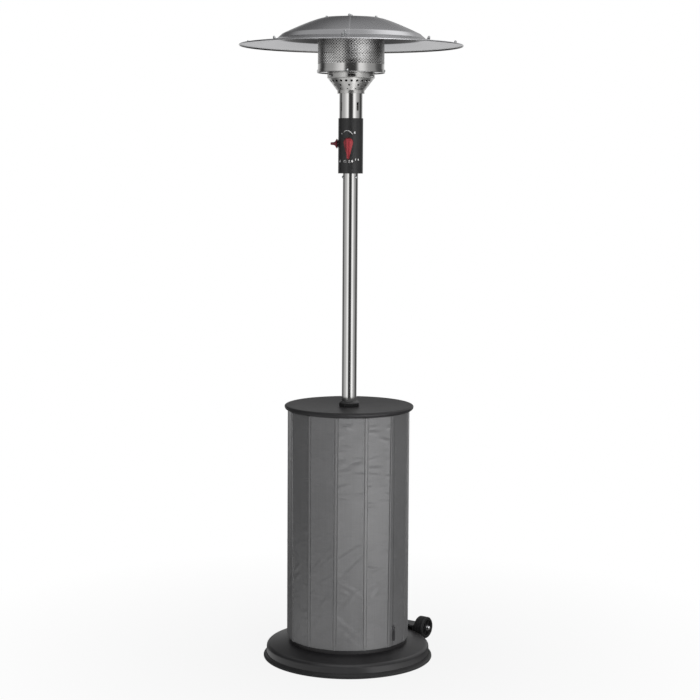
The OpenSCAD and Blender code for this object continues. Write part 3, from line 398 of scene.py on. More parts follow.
def rounded(points, step=9):
    """A closed outline whose corners, given as (x, y, radius), are rounded."""
    out = []
    for i, (x, y, r) in enumerate(points):
        here = Vector((x, y))
        back = Vector(points[i - 1][:2]) - here
        ahead = Vector(points[(i + 1) % len(points)][:2]) - here
        angle = back.angle(ahead)
        if r <= 0 or angle > 179.5 * RAD:
            out.append((x, y))
            continue
        reach = min(r / math.tan(angle / 2), 0.49 * back.length, 0.49 * ahead.length)
        r = reach * math.tan(angle / 2)
        u, v = back.normalized(), ahead.normalized()
        centre = here + (u + v).normalized() * (r / math.sin(angle / 2))
        s, e = here + u * reach - centre, here + v * reach - centre
        turn = math.atan2(s.x * e.y - s.y * e.x, s.dot(e))
        count = max(2, math.ceil(abs(turn) / (step * RAD)))
        for k in range(count + 1):
            t = turn * k / count
            out.append((centre.x + s.x * math.cos(t) - s.y * math.sin(t),
                        centre.y + s.x * math.sin(t) + s.y * math.cos(t)))
    return out


# Base: a spun pan and the moulding round its edge

def make_base():
    pan = Mesh()
    pan.lathe(rounded([
        (279, 6, 0.3), (279, 44.48, 13), (207, 58, 70), (20, 58, 0), (20, 56.5, 0), (207, 56.5, 70),
        (277.5, 43.2, 11.5), (277.5, 6, 0.3)], 5), steps=256)
    pan.lathe([(0.01, 58), (20, 58), (20, 56.5), (0.01, 56.5)], steps=256)
    pan.piece("base_pan", "paint", "black_steel", stands_for=["base_shell"])
    edge = Mesh()
    edge.lathe(rounded([
        (272.3, 0, 0.6), (289.5, 0, 2), (289.5, 4.6, 2.4), (283.4, 8.2, 8), (280.7, 15, 0.7), (279.3, 15, 0.2),
        (279.3, 6, 0), (277.3, 6, 0), (277.3, 10, 0.5), (272.3, 10, 0.8)], 10), steps=256)
    edge.piece("base_edge", "rubber", "edge_rubber", stands_for=["base_trim"])


make_base()


# Lid: a shallow dish with a thin edge that curls under

def make_lid():
    sheet, edge_z = 1.5, 866.8
    dish = [(25.7, 867), (40, 867), (60, 867.2), (90, 867.9), (120, 868.8), (150, 869.8), (180, 870.8),
            (200, 871.5), (208, 871.75)]

    def rim(inset):
        """Edge of the lid: a thin nose, and a curl under it."""
        nose = [(212.2 + (7 - inset) * math.sin(a * RAD), edge_z + (5 - inset) * math.cos(a * RAD))
                for a in range(0, 91, 9)]
        curl = [(207 + (12.2 - inset) * math.cos(a * RAD), edge_z - (11.6 - inset) * math.sin(a * RAD))
                for a in range(6, 131, 7)]
        return nose + curl

    turned, inner = rim(0), rim(sheet)[::-1]
    under = [(r, z - sheet) for r, z in reversed(dish)]
    lid = Mesh()
    lid.lathe(dish + turned + inner + under, steps=256)
    # The lid takes the lighter black, as painted light.
    lid.piece("lid_dish", "lid_paint_painted_light", "black_steel", stands_for=["lid"], crease=40)


make_lid()


# Reflector: four spun sheets with rolled rims, each lapped over its neighbour

RIM_Z, RIM_R, BEAD_R = 2072.5, 373, 2.3
SEAM_AZ = 7.6 - 90


def dome_height(r):
    """Height of the sheet's lower face above the rim plane."""
    crown_r, dome_r, foot_r, dome_h, low, foot, edge = 97, 230, 248, 91.5, 38.5, 22.5, 4.0
    if r <= crown_r:
        return dome_h
    if r <= dome_r:
        return dome_h - (dome_h - low) * ((r - crown_r) / (dome_r - crown_r)) ** 1.2
    if r <= foot_r:
        return low + (foot - low) * (r - dome_r) / (foot_r - dome_r)
    return edge + (foot - edge) * max(0.0, 1 - (r - foot_r) / (RIM_R - foot_r)) ** 1.8


def soft_height(r):
    """The same, with its folds rounded."""
    reach = 2.5
    return sum(dome_height(r + reach * k / 5) for k in range(-5, 6)) / 11


def make_reflector():
    sheet, lap = 0.8, 1.0
    radii = ([12, 50, 85] + list(range(90, 103, 2)) + list(range(108, 222, 6)) + list(np.arange(224, 258, 1.5))
             + list(range(262, 364, 6)) + [366, 368.9])
    low = [(r, RIM_Z + soft_height(r)) for r in radii]
    bead = [(RIM_R - BEAD_R + BEAD_R * math.cos(a * RAD), RIM_Z + 2.5 + BEAD_R * math.sin(a * RAD))
            for a in range(-130, 140, 18)]
    top = [(r, z + sheet) for r, z in reversed(low)]
    lip_radii = [100] + [r for r in radii if 100 < r < 361] + [361]
    lip_turn = [-4, -3, -2, -1, 0, 0.35, 0.7, 1.05, 1.4]
    for k, side in enumerate(("right", "rear", "left", "front")):
        panel = Mesh()
        start = SEAM_AZ + 90 * k
        panel.lathe(low + bead + top, start + 0.05, start + 89.95, steps=96)
        rings = []
        for a in lip_turn:
            rise = lap if a <= 0 else lap * (0.5 + 0.5 * math.cos(math.pi * min(1, a / 1.4)))
            t = (start + a) * RAD
            edge = [(r, RIM_Z + soft_height(r) + rise + 0.02) for r in lip_radii]
            loop = edge + [(r, z + sheet) for r, z in reversed(edge)]
            rings.append([(r * math.cos(t), r * math.sin(t), z) for r, z in loop])
        panel.grid(rings, closed_u=True, cap=True)
        panel.piece("reflector_" + side, "reflector", "reflector_alloy", stands_for=["panel_" + side], crease=40)


make_reflector()


# Cap nuts on the seams of the reflector and on its crown

def make_nuts():
    nuts = Mesh()
    spin, crown_r = 24, 100
    washer = [(4.0, -2.0), (6.4, -0.4)] + rounded([(6.6, 0, 0.2), (6.6, 1.1, 0.3), (4.5, 1.1, 0)], 30)
    hexagon = [(4.75 * grow, z) for z, grow in ((1.0, 0.94), (1.6, 1.0), (5.6, 1.0), (6.2, 0.94))]
    acorn = [(4.5, 6.0), (4.3, 6.6), (4.2, 7.6), (3.9, 9.6), (3.2, 11.2), (2.1, 12.3), (0.9, 12.8), (0.02, 12.9)]

    def put(rings, where, lean, around):
        start = len(nuts.verts)
        nuts.grid(rings, closed_u=True, cap=True)
        c, s = math.cos(lean), math.sin(lean)
        for i in range(start, len(nuts.verts)):
            x, y, z = nuts.verts[i]
            nuts.verts[i] = turned_by((x * c + z * s + where[0], y, z * c - x * s + where[1]), around)

    for k in range(4):
        around = (SEAM_AZ - 2 + 90 * k) * RAD
        for r, above in ((82, 1.0), (256, 1.82), (345, 1.82)):
            lean = math.atan(soft_height(r - 2) / 4 - soft_height(r + 2) / 4)
            base = RIM_Z + soft_height(r) + 0.8 + above
            tall = 0.62 if r < crown_r else 1.0
            for section, count, stretch in ((washer, spin, 1.0), (hexagon, 6, tall), (acorn, spin, tall)):
                put([circle(q, z * stretch, count) for q, z in section], (r, base), lean, around)
    nuts.piece("reflector_nuts", "zinc", "zinc", stands_for=["reflector_screws"], crease=40)


make_nuts()


# Emitter: a can whose wall is punched with staggered round holes

def make_emitter():
    outer, inner, foot, top = 110.7, 109.9, 1987.0, 2130.0
    first, row_h, rows, across, hole = 2013.5, 4.6, 24, 68, 2.05
    width = 2 * math.pi / across
    can, punching = Mesh(), Mesh()

    def ring_of(u0, v0):
        """Edge points of one cell, and the points of its hole."""
        edge = [(1, 0.5), (1, 1), (0.5, 1), (0, 1), (0, 0.5), (0, 0), (0.5, 0), (1, 0)]
        edge = [((u0 + u) * width, v0 + v * row_h) for u, v in edge]
        mid_u, mid_v = (u0 + 0.5) * width, v0 + row_h / 2
        punched = []
        for i in range(16):
            a = i * math.pi / 8
            punched.append((mid_u + hole * math.cos(a) / outer, mid_v + hole * math.sin(a)))
        return edge, punched

    def wall(points, r):
        start = len(punching.verts)
        punching.verts.extend((r * math.cos(u), r * math.sin(u), v) for u, v in points)
        return start

    for j in range(rows):
        for i in range(across):
            edge, punched = ring_of(i + 0.5 * (j % 2), first + j * row_h)
            starts = [(wall(edge, r), wall(punched, r)) for r in (outer, inner)]
            for e, h in starts:
                for n in range(8):
                    m, q = (n + 1) % 8, 2 * n
                    punching.faces.append((e + n, e + m, h + (q + 2) % 16, h + q + 1, h + q))
            for n in range(16):
                m = (n + 1) % 16
                punching.faces.append((starts[0][1] + n, starts[0][1] + m, starts[1][1] + m, starts[1][1] + n))
    above = first + rows * row_h
    steps = across * 4
    can.lathe([(outer, above), (outer, top), (inner, top), (inner, above)], steps=steps, closed=False)
    can.lathe([(inner, first), (inner, foot - 2), (113.3, foot - 2), (113.3, foot - 0.3), (112.9, foot + 0.2),
               (112.1, foot + 0.4), (112.1, foot + 10), (outer, foot + 10), (outer, first)],
              steps=steps, closed=False)
    can.piece("emitter_can", "satin", "satin_steel", stands_for=["emitter_screen"], crease=40)
    punching.piece("emitter_punching", "punched", "satin_steel", stands_for=["emitter_screen"], crease=40)


make_emitter()


# Cover: thirteen cloth panels sewn over thin rods, slack between the seams

COVER_Z0, COVER_Z1, CORNER_R, FACE_R = 71.6, 854.7, 208.5, 202.44
SIDES, FIRST_CORNER, HALF_PANEL = 13, 53.9, 49.9
LEAN = {0: -2.5, 1: -4.0, 2: -2.0, 8: 2.0, 9: 3.5, 10: 0.3, 11: -0.9, 12: -0.4}
STRIP_EDGE = 45.3
ZIP_AT = -38.9


def corner(k, z):
    """Corner k of the cloth at a height: the rods lean a little towards the foot."""
    drop = 1 - (z - COVER_Z0) / (COVER_Z1 - COVER_Z0)
    a = (FIRST_CORNER + 360 / SIDES * k - 90 + LEAN.get(k % SIDES, 0) * drop) * RAD
    return np.stack([CORNER_R * np.cos(a), CORNER_R * np.sin(a)], axis=-1)


def waves(rng, z, lengths):
    """A soft random wave along a line, about -1 to 1."""
    total = 0
    for length in lengths:
        total = total + rng.uniform(0.5, 1) * np.sin(2 * math.pi * (z / length + rng.uniform()))
    return total / len(lengths)


def creases(rng, k):
    """Folds of one panel, as (across, height, turn in degrees, half length, half width, rise)."""
    out = []
    pulled = 46 if k == 12 else 32
    for _ in range(pulled):
        side = rng.choice((-1, 1))
        out.append((side * rng.uniform(14, 42), rng.uniform(COVER_Z0 + 20, COVER_Z1 - 20), rng.uniform(-16, 16),
                    rng.uniform(16, 46), rng.uniform(3.8, 8), rng.uniform(0.4, 1.15)))
    for _ in range(46 if k == 12 else 30):
        side = rng.choice((-1, 1))
        out.append((side * rng.uniform(33, 43), rng.uniform(COVER_Z0 + 20, COVER_Z1 - 10), rng.uniform(-9, 9),
                    rng.uniform(9, 20), rng.uniform(2.8, 4.5), rng.uniform(0.25, 0.6)))
    low = 12 if k in (8, 9, 10, 11) else 5
    for _ in range(low):
        out.append((rng.uniform(-30, 30), rng.uniform(COVER_Z0 + 25, COVER_Z0 + 330),
                    rng.choice((-1, 1)) * rng.uniform(22, 62), rng.uniform(30, 80), rng.uniform(4.5, 9),
                    rng.uniform(0.6, 1.5)))
    return out


def make_cover():
    least_r, foot_r, rod_r = 202.3, 207.2, 204.6
    groove_at, stitch_at = 44.4, 46.8
    rng = np.random.default_rng(11)
    half = [49.9, 48.4, 47.2, 46.4, 45.8, 45.3, 44.7, 44.1, 43.5, 42.8, 41, 38.5, 34.5, 30, 25, 19, 13, 6.5]
    across = np.array([-v for v in half] + [0.0] + half[:0:-1])
    z = np.concatenate([[COVER_Z0, COVER_Z0 + 1.2], np.arange(COVER_Z0 + 4, COVER_Z0 + 11, 3),
                        [COVER_Z0 + 11.4, COVER_Z0 + 12.2, COVER_Z0 + 13, COVER_Z0 + 14, COVER_Z0 + 14.8],
                        np.arange(COVER_Z0 + 18, COVER_Z1 - 1, 3.5), [COVER_Z1]])
    seam_pull = [waves(rng, z, (13, 19, 27, 41, 66)) for _ in range(SIDES)]
    columns = []
    for k in range(SIDES):
        start, end = corner(k, z), corner(k + 1, z)
        share = (across + HALF_PANEL) / (2 * HALF_PANEL)
        flat = start[None] + (end - start)[None] * share[:, None, None]
        along = end - start
        along /= np.linalg.norm(along, axis=1)[:, None]
        out = np.stack([along[:, 1], -along[:, 0]], axis=-1)
        s, h = across[:, None], z[None, :]
        rise = 0.5 * (1 + waves(rng, h, (90, 150, 260))) * 1.3 * np.cos(math.pi * s / (2.1 * HALF_PANEL)) ** 2
        for side, pull in ((-1, seam_pull[k]), (1, seam_pull[(k + 1) % SIDES])):
            reach = STRIP_EDGE - side * s
            rise = rise + 0.75 * (pull[None, :] + 0.35) * np.exp(-np.abs(reach) / 11) * (reach > -1)
        for s0, z0, turn, length, width, high in creases(rng, k):
            c, n = math.cos(turn * RAD), math.sin(turn * RAD)
            u, v = (s - s0) * c + (h - z0) * n, (h - z0) * c - (s - s0) * n
            fade = np.clip(1 - (u / length) ** 2, 0, 1) ** 2
            fold = np.exp(-(v / width) ** 2) - 0.45 * np.exp(-((v - 1.7 * width) / width) ** 2)
            rise = rise + high * fade * fold
        strip = np.clip((np.abs(s) - STRIP_EDGE + 0.3) / 0.6, 0, 1)
        rise = rise * (1 - 0.75 * strip) + 1.2 * strip
        rise = rise - 2.0 * np.exp(-((np.abs(s) - groove_at) / 0.8) ** 4)
        hem = np.clip((COVER_Z0 + 14.4 - h) / 0.8, 0, 1)
        rise = rise * (1 - 0.6 * hem) + 0.7 * hem - 0.4 * np.exp(-((h - COVER_Z0 - 12.2) / 0.6) ** 2)
        if k == 0:
            by_zip = np.exp(-((s - ZIP_AT) / 11) ** 4)
            mid = (FIRST_CORNER + 180 / SIDES - 90) * RAD
            true = np.stack([FACE_R * math.cos(mid) - across * math.sin(mid),
                             FACE_R * math.sin(mid) + across * math.cos(mid)], axis=-1)[:, None, :]
            flat = flat * (1 - by_zip[..., None]) + true * by_zip[..., None]
            rise = rise * (1 - by_zip)
        place = flat + out[None] * rise[..., None]
        radius = np.linalg.norm(place, axis=-1)
        radius_to = np.maximum(radius, least_r)
        foot = 0.75 * np.exp(-((h - COVER_Z0) / 30) ** 2) * ((1 - by_zip) if k == 0 else 1)
        radius_to = radius_to + np.maximum(foot_r - radius_to, 0) * foot
        place *= (radius_to / radius)[..., None]
        for i in range(len(across)):
            columns.append([(x, y, height) for (x, y), height in zip(place[i], z)])
    cloth = Mesh()
    cloth.grid(columns, closed_v=True)
    piece = cloth.piece("cover_cloth", "cloth", "cloth", stands_for=["cover"], crease=50)
    thick = piece.modifiers.new("cloth", "SOLIDIFY")
    thick.thickness, thick.offset = 0.8 * MM, -1

    rods = Mesh()
    for k in range(SIDES):
        ends = np.array([COVER_Z0 + 3, COVER_Z1 - 3])
        (x0, y0), (x1, y1) = corner(k, ends) * (rod_r / CORNER_R)
        rings = []
        for x, y, height, r in ((x0, y0, ends[0], 1.4), (x0, y0, ends[0] + 0.6, 2), (x1, y1, ends[1] - 0.6, 2),
                                (x1, y1, ends[1], 1.4)):
            rings.append([(x + dx, y + dy, height) for dx, dy, _ in circle(r, 0, 12)])
        rods.grid(rings, closed_u=True, cap=True)
    rods.piece("cover_rods", "stay", "stay_plastic", stands_for=["cover_stays"])

    stitch = Mesh()
    for k in range(SIDES):
        for side in (-1, 1):
            for height in np.arange(COVER_Z0 + 17, COVER_Z1 - 12, 5.2):
                (ax, ay), (bx, by) = corner(k, height), corner(k + 1, height)
                share = (side * stitch_at + HALF_PANEL) / (2 * HALF_PANEL)
                px, py = ax + (bx - ax) * share, ay + (by - ay) * share
                tx, ty = (bx - ax) / (2 * HALF_PANEL), (by - ay) / (2 * HALF_PANEL)

                def sewn(p, px=px, py=py, tx=tx, ty=ty, height=height):
                    return (px + tx * p[1] + ty * p[0], py + ty * p[1] - tx * p[0], height + p[2])
                stitch.block((0.4, -0.3, -1.7), (0.95, 0.3, 1.7), sewn)
    stitch.piece("cover_stitches", "thread", "cloth")


make_cover()


# Zip: tape, interlocking teeth and a webbing tab on the slider

ZIP_AZ = (FIRST_CORNER + 180 / SIDES - 90) * RAD
ZIP_LOW, ZIP_HIGH, PULL_Z, PIN_X = 87.6, 842.7, 134.6, 209.14


def on_zip(p):
    """A point in the zip's frame: out of the panel, across it from the zip's line, and up."""
    x, y, z = p
    return turned_by((x, y + ZIP_AT, z), ZIP_AZ)


def make_zip():
    tape = Mesh()
    edge = rounded([(FACE_R - 0.1, -8, 0), (FACE_R + 0.55, -8, 0.3), (FACE_R + 0.75, -3.2, 0.2),
                    (FACE_R + 0.5, 0, 0), (FACE_R + 0.75, 3.2, 0.2), (FACE_R + 0.55, 8, 0.3), (FACE_R - 0.1, 8, 0)])
    tape.grid([[on_zip((x, y, z)) for x, y in edge] for z in np.linspace(ZIP_LOW - 1, ZIP_HIGH + 1, 90)],
              closed_u=True, cap=True)
    tape.piece("zip_tape", "tape", "cloth")
    teeth = Mesh()
    pitch = 2.6
    for i in range(int((ZIP_HIGH - ZIP_LOW) / pitch)):
        z = ZIP_LOW + pitch * (i + 0.5)
        side = 1 if i % 2 else -1
        teeth.block((FACE_R + 0.2, side * 0.9 - 2.0, z - 0.95), (FACE_R + 1.6, side * 0.9 + 2.0, z + 0.95), on_zip)
    teeth.piece("zip_chain", "coil", "black_plastic", stands_for=["zip_teeth"])
    tab = Mesh()
    rings = []
    for z, half, thick in ((0.8, 2.5, 0.8), (-2, 2.5, 0.9), (-9.5, 2.5, 0.9), (-11.5, 4.2, 0.9), (-12.6, 5.8, 0.9),
                           (-14, 6, 0.9), (-16, 6, 0.7), (-18, 6, 0.9), (-40, 6, 0.9), (-41.5, 6, 0.7), (-43, 6, 0.9),
                           (-44, 5.4, 0.6)):
        ring = rounded([(-thick, -half, 0.5), (thick, -half, 0.5), (thick, half, 0.5), (-thick, half, 0.5)], 30)
        rings.append([on_zip((PIN_X + x, y, PULL_Z + z)) for x, y in ring])
    tab.grid(rings, closed_u=True, cap=True)
    loop = []
    for i in range(20):
        a = 2 * math.pi * i / 20
        loop.append([on_zip((PIN_X + (1.95 + dr) * math.cos(a), y, PULL_Z + (1.95 + dr) * math.sin(a)))
                     for dr, y in ((-0.65, -2.3), (0.65, -2.3), (0.65, 2.3), (-0.65, 2.3))])
    tab.grid(loop, closed_u=True, closed_v=True)
    tab.piece("zip_tab_webbing", "webbing", "pull_tape", body="zip_tab", stands_for=["zip_pull"])


make_zip()


# Controls: two drop-shaped knobs and the marks printed round the front one

AXIS_Z, KNOB_BACK, HOUSING_R = 1752, 44.9, 41.5
RECESS_R = 10.5  # hollow in a knob's back, round the nose that its stem comes out of


def drop_outline(r, tip_r, inset):
    """A drop with its round end up: radius of the round end and of the tip, and how far both draw in."""
    top, low = 19.4 - inset - r, 52.5 - inset - tip_r
    k = math.asin((r - tip_r) / (top + low))
    out = []
    for i in range(49):
        a = -k + (math.pi + 2 * k) * i / 48
        out.append((r * math.cos(a), top + r * math.sin(a)))
    tip = []
    for i in range(13):
        a = math.pi + k + (math.pi - 2 * k) * i / 12
        tip.append((tip_r * math.cos(a), -low + tip_r * math.sin(a)))

    def side(start, stop):
        return [(start[0] + (stop[0] - start[0]) * i / 10, start[1] + (stop[1] - start[1]) * i / 10)
                for i in range(1, 10)]

    return out + side(out[-1], tip[0]) + tip + side(tip[-1], out[0])


def make_knob(name, node_name, body, finish, place):
    knob = Mesh()
    rings = []
    for depth, r, tip_r, inset in (
            (0, 15.2, 2.4, 0.8), (0.6, 16, 3, 0), (1.4, 16, 3, 0), (2.3, 15.2, 2.8, 0.3), (3.4, 13.2, 2.7, 0.7),
            (4.5, 10.8, 2.6, 1.0), (5.6, 8.6, 2.5, 1.4), (6.8, 6.8, 2.4, 1.8), (8.4, 5.6, 2.3, 2.2),
            (11, 4.9, 2.2, 2.6), (19.2, 4.4, 2.1, 3.0), (20.2, 4.1, 1.9, 3.3), (20.8, 3.5, 1.5, 3.9),
            (21, 2.5, 0.9, 5.0)):
        rings.append([place(x, y, depth) for x, y in drop_outline(r, tip_r, inset)])
    turns = [math.atan2(y, x) for x, y in drop_outline(15.2, 2.4, 0.8)]
    recess = [[place(RECESS_R * math.cos(a), RECESS_R * math.sin(a), depth) for a in turns] for depth in (2.5, 0)]
    knob.grid(recess + rings, closed_u=True, cap=True)
    knob.piece(name, finish, "red_plastic", body=body, stands_for=[node_name], crease=50)


make_knob("front_grip", "front_knob", "front_control", "red", lambda x, y, d: (x, -KNOB_BACK - d, AXIS_Z + y))
# The side grip takes the darker red: painted shade on its shaded side.
make_knob("side_grip", "side_knob", "side_control", "red_painted_shade", lambda x, y, d: (-KNOB_BACK - d, -y, AXIS_Z + x))


def make_marks():
    """Heat scale, flames and small signs, as thin prints wrapped on the housing. Each outline is given as
    (round the housing from the front, above the knob's axis)."""
    prints = Mesh()

    def wrap(u, v, lift):
        a = -math.pi / 2 + u / HOUSING_R
        r = HOUSING_R + lift
        return (r * math.cos(a), r * math.sin(a), AXIS_Z + v)

    def fill(outline):
        start, n = len(prints.verts), len(outline)
        for lift in (0.02, 0.1):
            prints.verts.extend(wrap(u, v, lift) for u, v in outline)
        prints.faces.append(tuple(start + n + i for i in range(n)))
        for i in range(n):
            k = (i + 1) % n
            prints.faces.append((start + i, start + k, start + n + k, start + n + i))

    def flame(u, v, size):
        shape = ((0, -0.5), (0.26, -0.42), (0.36, -0.2), (0.3, 0.06), (0.14, 0.3), (0.06, 0.56), (-0.1, 0.3),
                 (-0.2, 0.12), (-0.26, 0.22), (-0.37, -0.08), (-0.34, -0.3), (-0.18, -0.46))
        fill([(u + x * size, v + y * size) for x, y in shape])

    bow = []
    for i in range(25):
        t = i / 24
        u = (1 - t) ** 2 * -18 + 2 * t * (1 - t) * -3 + t ** 2 * 13
        v = (1 - t) ** 2 * 36.5 + 2 * t * (1 - t) * 51.5 + t ** 2 * 31
        bow.append((u, v, 0.5 + 0.6 * t))
    for (u0, v0, w0), (u1, v1, w1) in zip(bow, bow[1:]):
        n = math.hypot(u1 - u0, v1 - v0)
        x, y = -(v1 - v0) / n, (u1 - u0) / n
        fill([(u0 - x * w0, v0 - y * w0), (u1 - x * w1, v1 - y * w1), (u1 + x * w1, v1 + y * w1),
              (u0 + x * w0, v0 + y * w0)])
    flame(-25, 33, 4.5)
    flame(21, 36.5, 8.5)
    for u, v, size in ((-34.9, -58, 8.5), (2.9, -57, 5.5), (12.6, -57.5, 9), (34.8, -52.5, 6.5)):
        flame(u, v, size)
    for u, v, w, h in ((-12.3, -60, 8, 6.6), (-12.3, -55.4, 3.2, 2.4), (24.2, -52.5, 2.4, 6.8),
                       (2.9, -62.6, 6, 1.5)):
        fill([(u - w / 2, v - h / 2), (u + w / 2, v - h / 2), (u + w / 2, v + h / 2), (u - w / 2, v + h / 2)])
    prints.piece("control_marks", "print", "black_plastic")


make_marks()


# Wheels: rounded tyres on dished hubs with ribs

WHEEL_UP, WHEEL_AXIS = Vector((0, 0, 1)), Vector((-0.90631, 0.42262, 0))
WHEEL_AHEAD = Vector((0.42262, 0.90631, 0))


def make_wheel(side, centre):
    def place(p):
        x, y, z = p
        return Vector(centre) + x * WHEEL_AHEAD + y * WHEEL_UP + z * WHEEL_AXIS

    def turned(mesh, section, steps=96):
        start = len(mesh.verts)
        mesh.lathe(section, steps=steps)
        mesh.verts[start:] = [tuple(place(p)) for p in mesh.verts[start:]]

    tyre = Mesh()
    tread = [(31.1, -17.5, 0.8), (35.2, -17.5, 2.5), (38, -14.2, 2.5), (38, -6.4, 0.3), (37.1, -5.9, 0.3),
             (37.1, -5.1, 0.3), (38, -4.6, 0.3), (38, 4.6, 0.3), (37.1, 5.1, 0.3), (37.1, 5.9, 0.3), (38, 6.4, 0.3),
             (38, 14.2, 2.5), (35.2, 17.5, 2.5), (31.1, 17.5, 0.8)]
    turned(tyre, rounded(tread, 15))
    tyre.piece("tyre_" + side, "tyre", "tyre", body="wheel_" + side, stands_for=["wheel_%s_tyre" % side])
    hub = Mesh()
    dish = [(5.3, -17.5, 0.4), (11, -17.5, 1), (12, -7.5, 1.5), (26.5, -7.5, 1.5), (27.5, -17.5, 0.6),
            (31, -17.5, 0.4), (31, 17.5, 0.4), (27.5, 17.5, 0.6), (26.5, 7.5, 1.5), (12, 7.5, 1.5), (11, 17.5, 1),
            (5.3, 17.5, 0.4)]
    turned(hub, rounded(dish, 15))
    for i in range(6):
        a = i * math.pi / 3

        def rib(p, a=a):
            return place(turned_by(p, a))
        hub.block((10.5, -1.3, -15), (28.5, 1.3, -7), rib)
        hub.block((10.5, -1.3, 7), (28.5, 1.3, 15), rib)
    hub.piece("hub_" + side, "plastic", "black_plastic", body="wheel_" + side, stands_for=["wheel_%s_hub" % side])


make_wheel("right", (232.25, 227.13, 47.5))
make_wheel("left", (24.71, 323.91, 47.5))


# Collar: a moulded ring with a scalloped skirt where the post meets the lid

def make_collar():
    ring = Mesh()
    lid_top, skirt_h, count = 867.0, 8.8, 14
    section = rounded([
        (25.7, lid_top, 0), (33.8, lid_top, 0.5), (34.0, lid_top + skirt_h, 0.3), (34.5, lid_top + 9.2, 0.4),
        (34.2, lid_top + 12.2, 1.4), (28.2, lid_top + 18, 1.2), (25.7, lid_top + 18, 0.3)], 20)
    rings = []
    for i in range(count * 16):
        a = 2 * math.pi * i / (count * 16)
        notch = 2.4 * max(0.0, math.cos(a * count)) ** 1.5
        loop = [(r - notch if r > 30 and z <= lid_top + skirt_h else r, z) for r, z in section]
        rings.append([(r * math.cos(a), r * math.sin(a), z) for r, z in loop])
    ring.grid(rings, closed_u=True, closed_v=True)
    ring.piece("collar_ring", "plastic", "black_plastic", stands_for=["post_collar"], crease=45)


make_collar()


# Light and surroundings

def round_about(tree, x, y, left_stops, right_stops):
    """Brightness by direction: stops from straight behind (0) to the camera's side (1), to the left and right."""
    flat = from_axis(tree, x, y)
    facing = math_node(tree, "DIVIDE", math_node(tree, "ADD", math_node(tree, "MULTIPLY", x, CAM_SIDE.x),
                                                 math_node(tree, "MULTIPLY", y, CAM_SIDE.y)), flat)
    turn = math_node(tree, "MULTIPLY_ADD", facing, 0.5, 0.5)
    across = math_node(tree, "DIVIDE", math_node(tree, "SUBTRACT", math_node(tree, "MULTIPLY", y, CAM_SIDE.x),
                                                 math_node(tree, "MULTIPLY", x, CAM_SIDE.y)), flat)
    right = map_range(tree, across, -0.05, 0.05)
    return mix_colour(tree, right, ramp(tree, turn, left_stops), ramp(tree, turn, right_stops))


def soft_spot(tree, turn, rise, wide, near, level):
    """A soft light in the studio, as mirror rays see it: where it is, turned from the camera's side and above the
    horizon, how far it spreads and where it is full, and how bright it is."""
    a, e = CAM_AZ + turn * RAD, rise * RAD
    at = node(tree, "TexCoord").outputs["Generated"]
    to = (math.cos(e) * math.sin(a), -math.cos(e) * math.cos(a), math.sin(e))
    close = node(tree, "VectorMath", {0: at, 1: to}, operation="DOT_PRODUCT").outputs["Value"]
    return map_range(tree, close, math.cos(wide * RAD), math.cos(near * RAD), 0.0, level, "SMOOTHSTEP")


# Levels that mirror rays see, as stops for round_about
WALLS_LEFT = [
    (0.0, 0.72), (0.07, 0.64), (0.13, 0.44), (0.19, 0.12), (0.25, 0.05), (0.33, 0.06), (0.4, 0.28), (0.46, 0.45),
    (0.6, 0.54), (0.71, 0.6), (0.8, 0.84), (0.87, 1.1), (0.93, 1.3), (0.95, 1.3), (0.966, 0.4), (0.985, 0.06),
    (1.0, 0.05)]
WALLS_RIGHT = [
    (0.0, 0.72), (0.07, 0.64), (0.13, 0.4), (0.19, 0.08), (0.32, 0.05), (0.43, 0.12), (0.5, 0.32), (0.6, 0.44),
    (0.72, 0.55), (0.79, 0.8), (0.85, 1.2), (0.9, 1.4), (0.945, 1.4), (0.966, 0.4), (0.985, 0.06), (1.0, 0.05)]
FLOOR_LEFT = [(0.0, 0.12), (0.2, 0.12), (0.35, 0.2), (0.45, 0.6), (0.6, 0.75), (0.9, 0.75), (1.0, 0.6)]
FLOOR_RIGHT = [
    (0.0, 0.12), (0.4, 0.12), (0.6, 0.24), (0.75, 0.7), (0.85, 1.1), (0.91, 1.6), (0.97, 1.6), (0.985, 0.7),
    (1.0, 0.6)]
FLOOR_FAR = [(0.0, 0.72), (0.012, 0.64), (0.035, 0.26), (0.2, 0.12), (0.4, 0.12), (0.6, 0.2), (1.0, 0.2)]

# Soft lights, as soft_spot takes them
SPOTS = [(110, 40, 60, 5, 0.55), (134, 51, 24, 5, 0.7), (-142, 60, 32, 6, 0.4), (165, 2, 30, 5, 0.34),
         (-170, 4, 17, 4, 0.35), (0, 52, 44, 12, 1.2)]
WHITE = (1, 1, 1)


def make_world():
    """White to the camera, an even dim light to matt surfaces, and a graded studio to mirror rays."""
    ambient, overhead = (0.28, 0.28, 0.285), (0.11, 0.11, 0.112)
    world = bpy.data.worlds.new("studio")
    scene.world = world
    world.use_nodes = True
    tree = world.node_tree
    tree.nodes.clear()
    x, y, z = node(tree, "SeparateXYZ", {0: node(tree, "TexCoord").outputs["Generated"]}).outputs
    above = rgba(overhead)
    for spot in SPOTS:
        above = mix_colour(tree, 1.0, above, soft_spot(tree, *spot), "ADD")
    high = map_range(tree, z, 0.05, 0.14)
    seen = mix_colour(tree, high, round_about(tree, x, y, WALLS_LEFT, WALLS_RIGHT), above)
    colour = mix_colour(tree, mirror_rays(tree), rgba(ambient), seen)
    colour = mix_colour(tree, node(tree, "LightPath").outputs["Is Camera Ray"], colour, rgba(WHITE))
    back = node(tree, "Background", {"Color": colour, "Strength": 1.0})
    out = node(tree, "OutputWorld")
    tree.links.new(back.outputs[0], out.inputs[0])


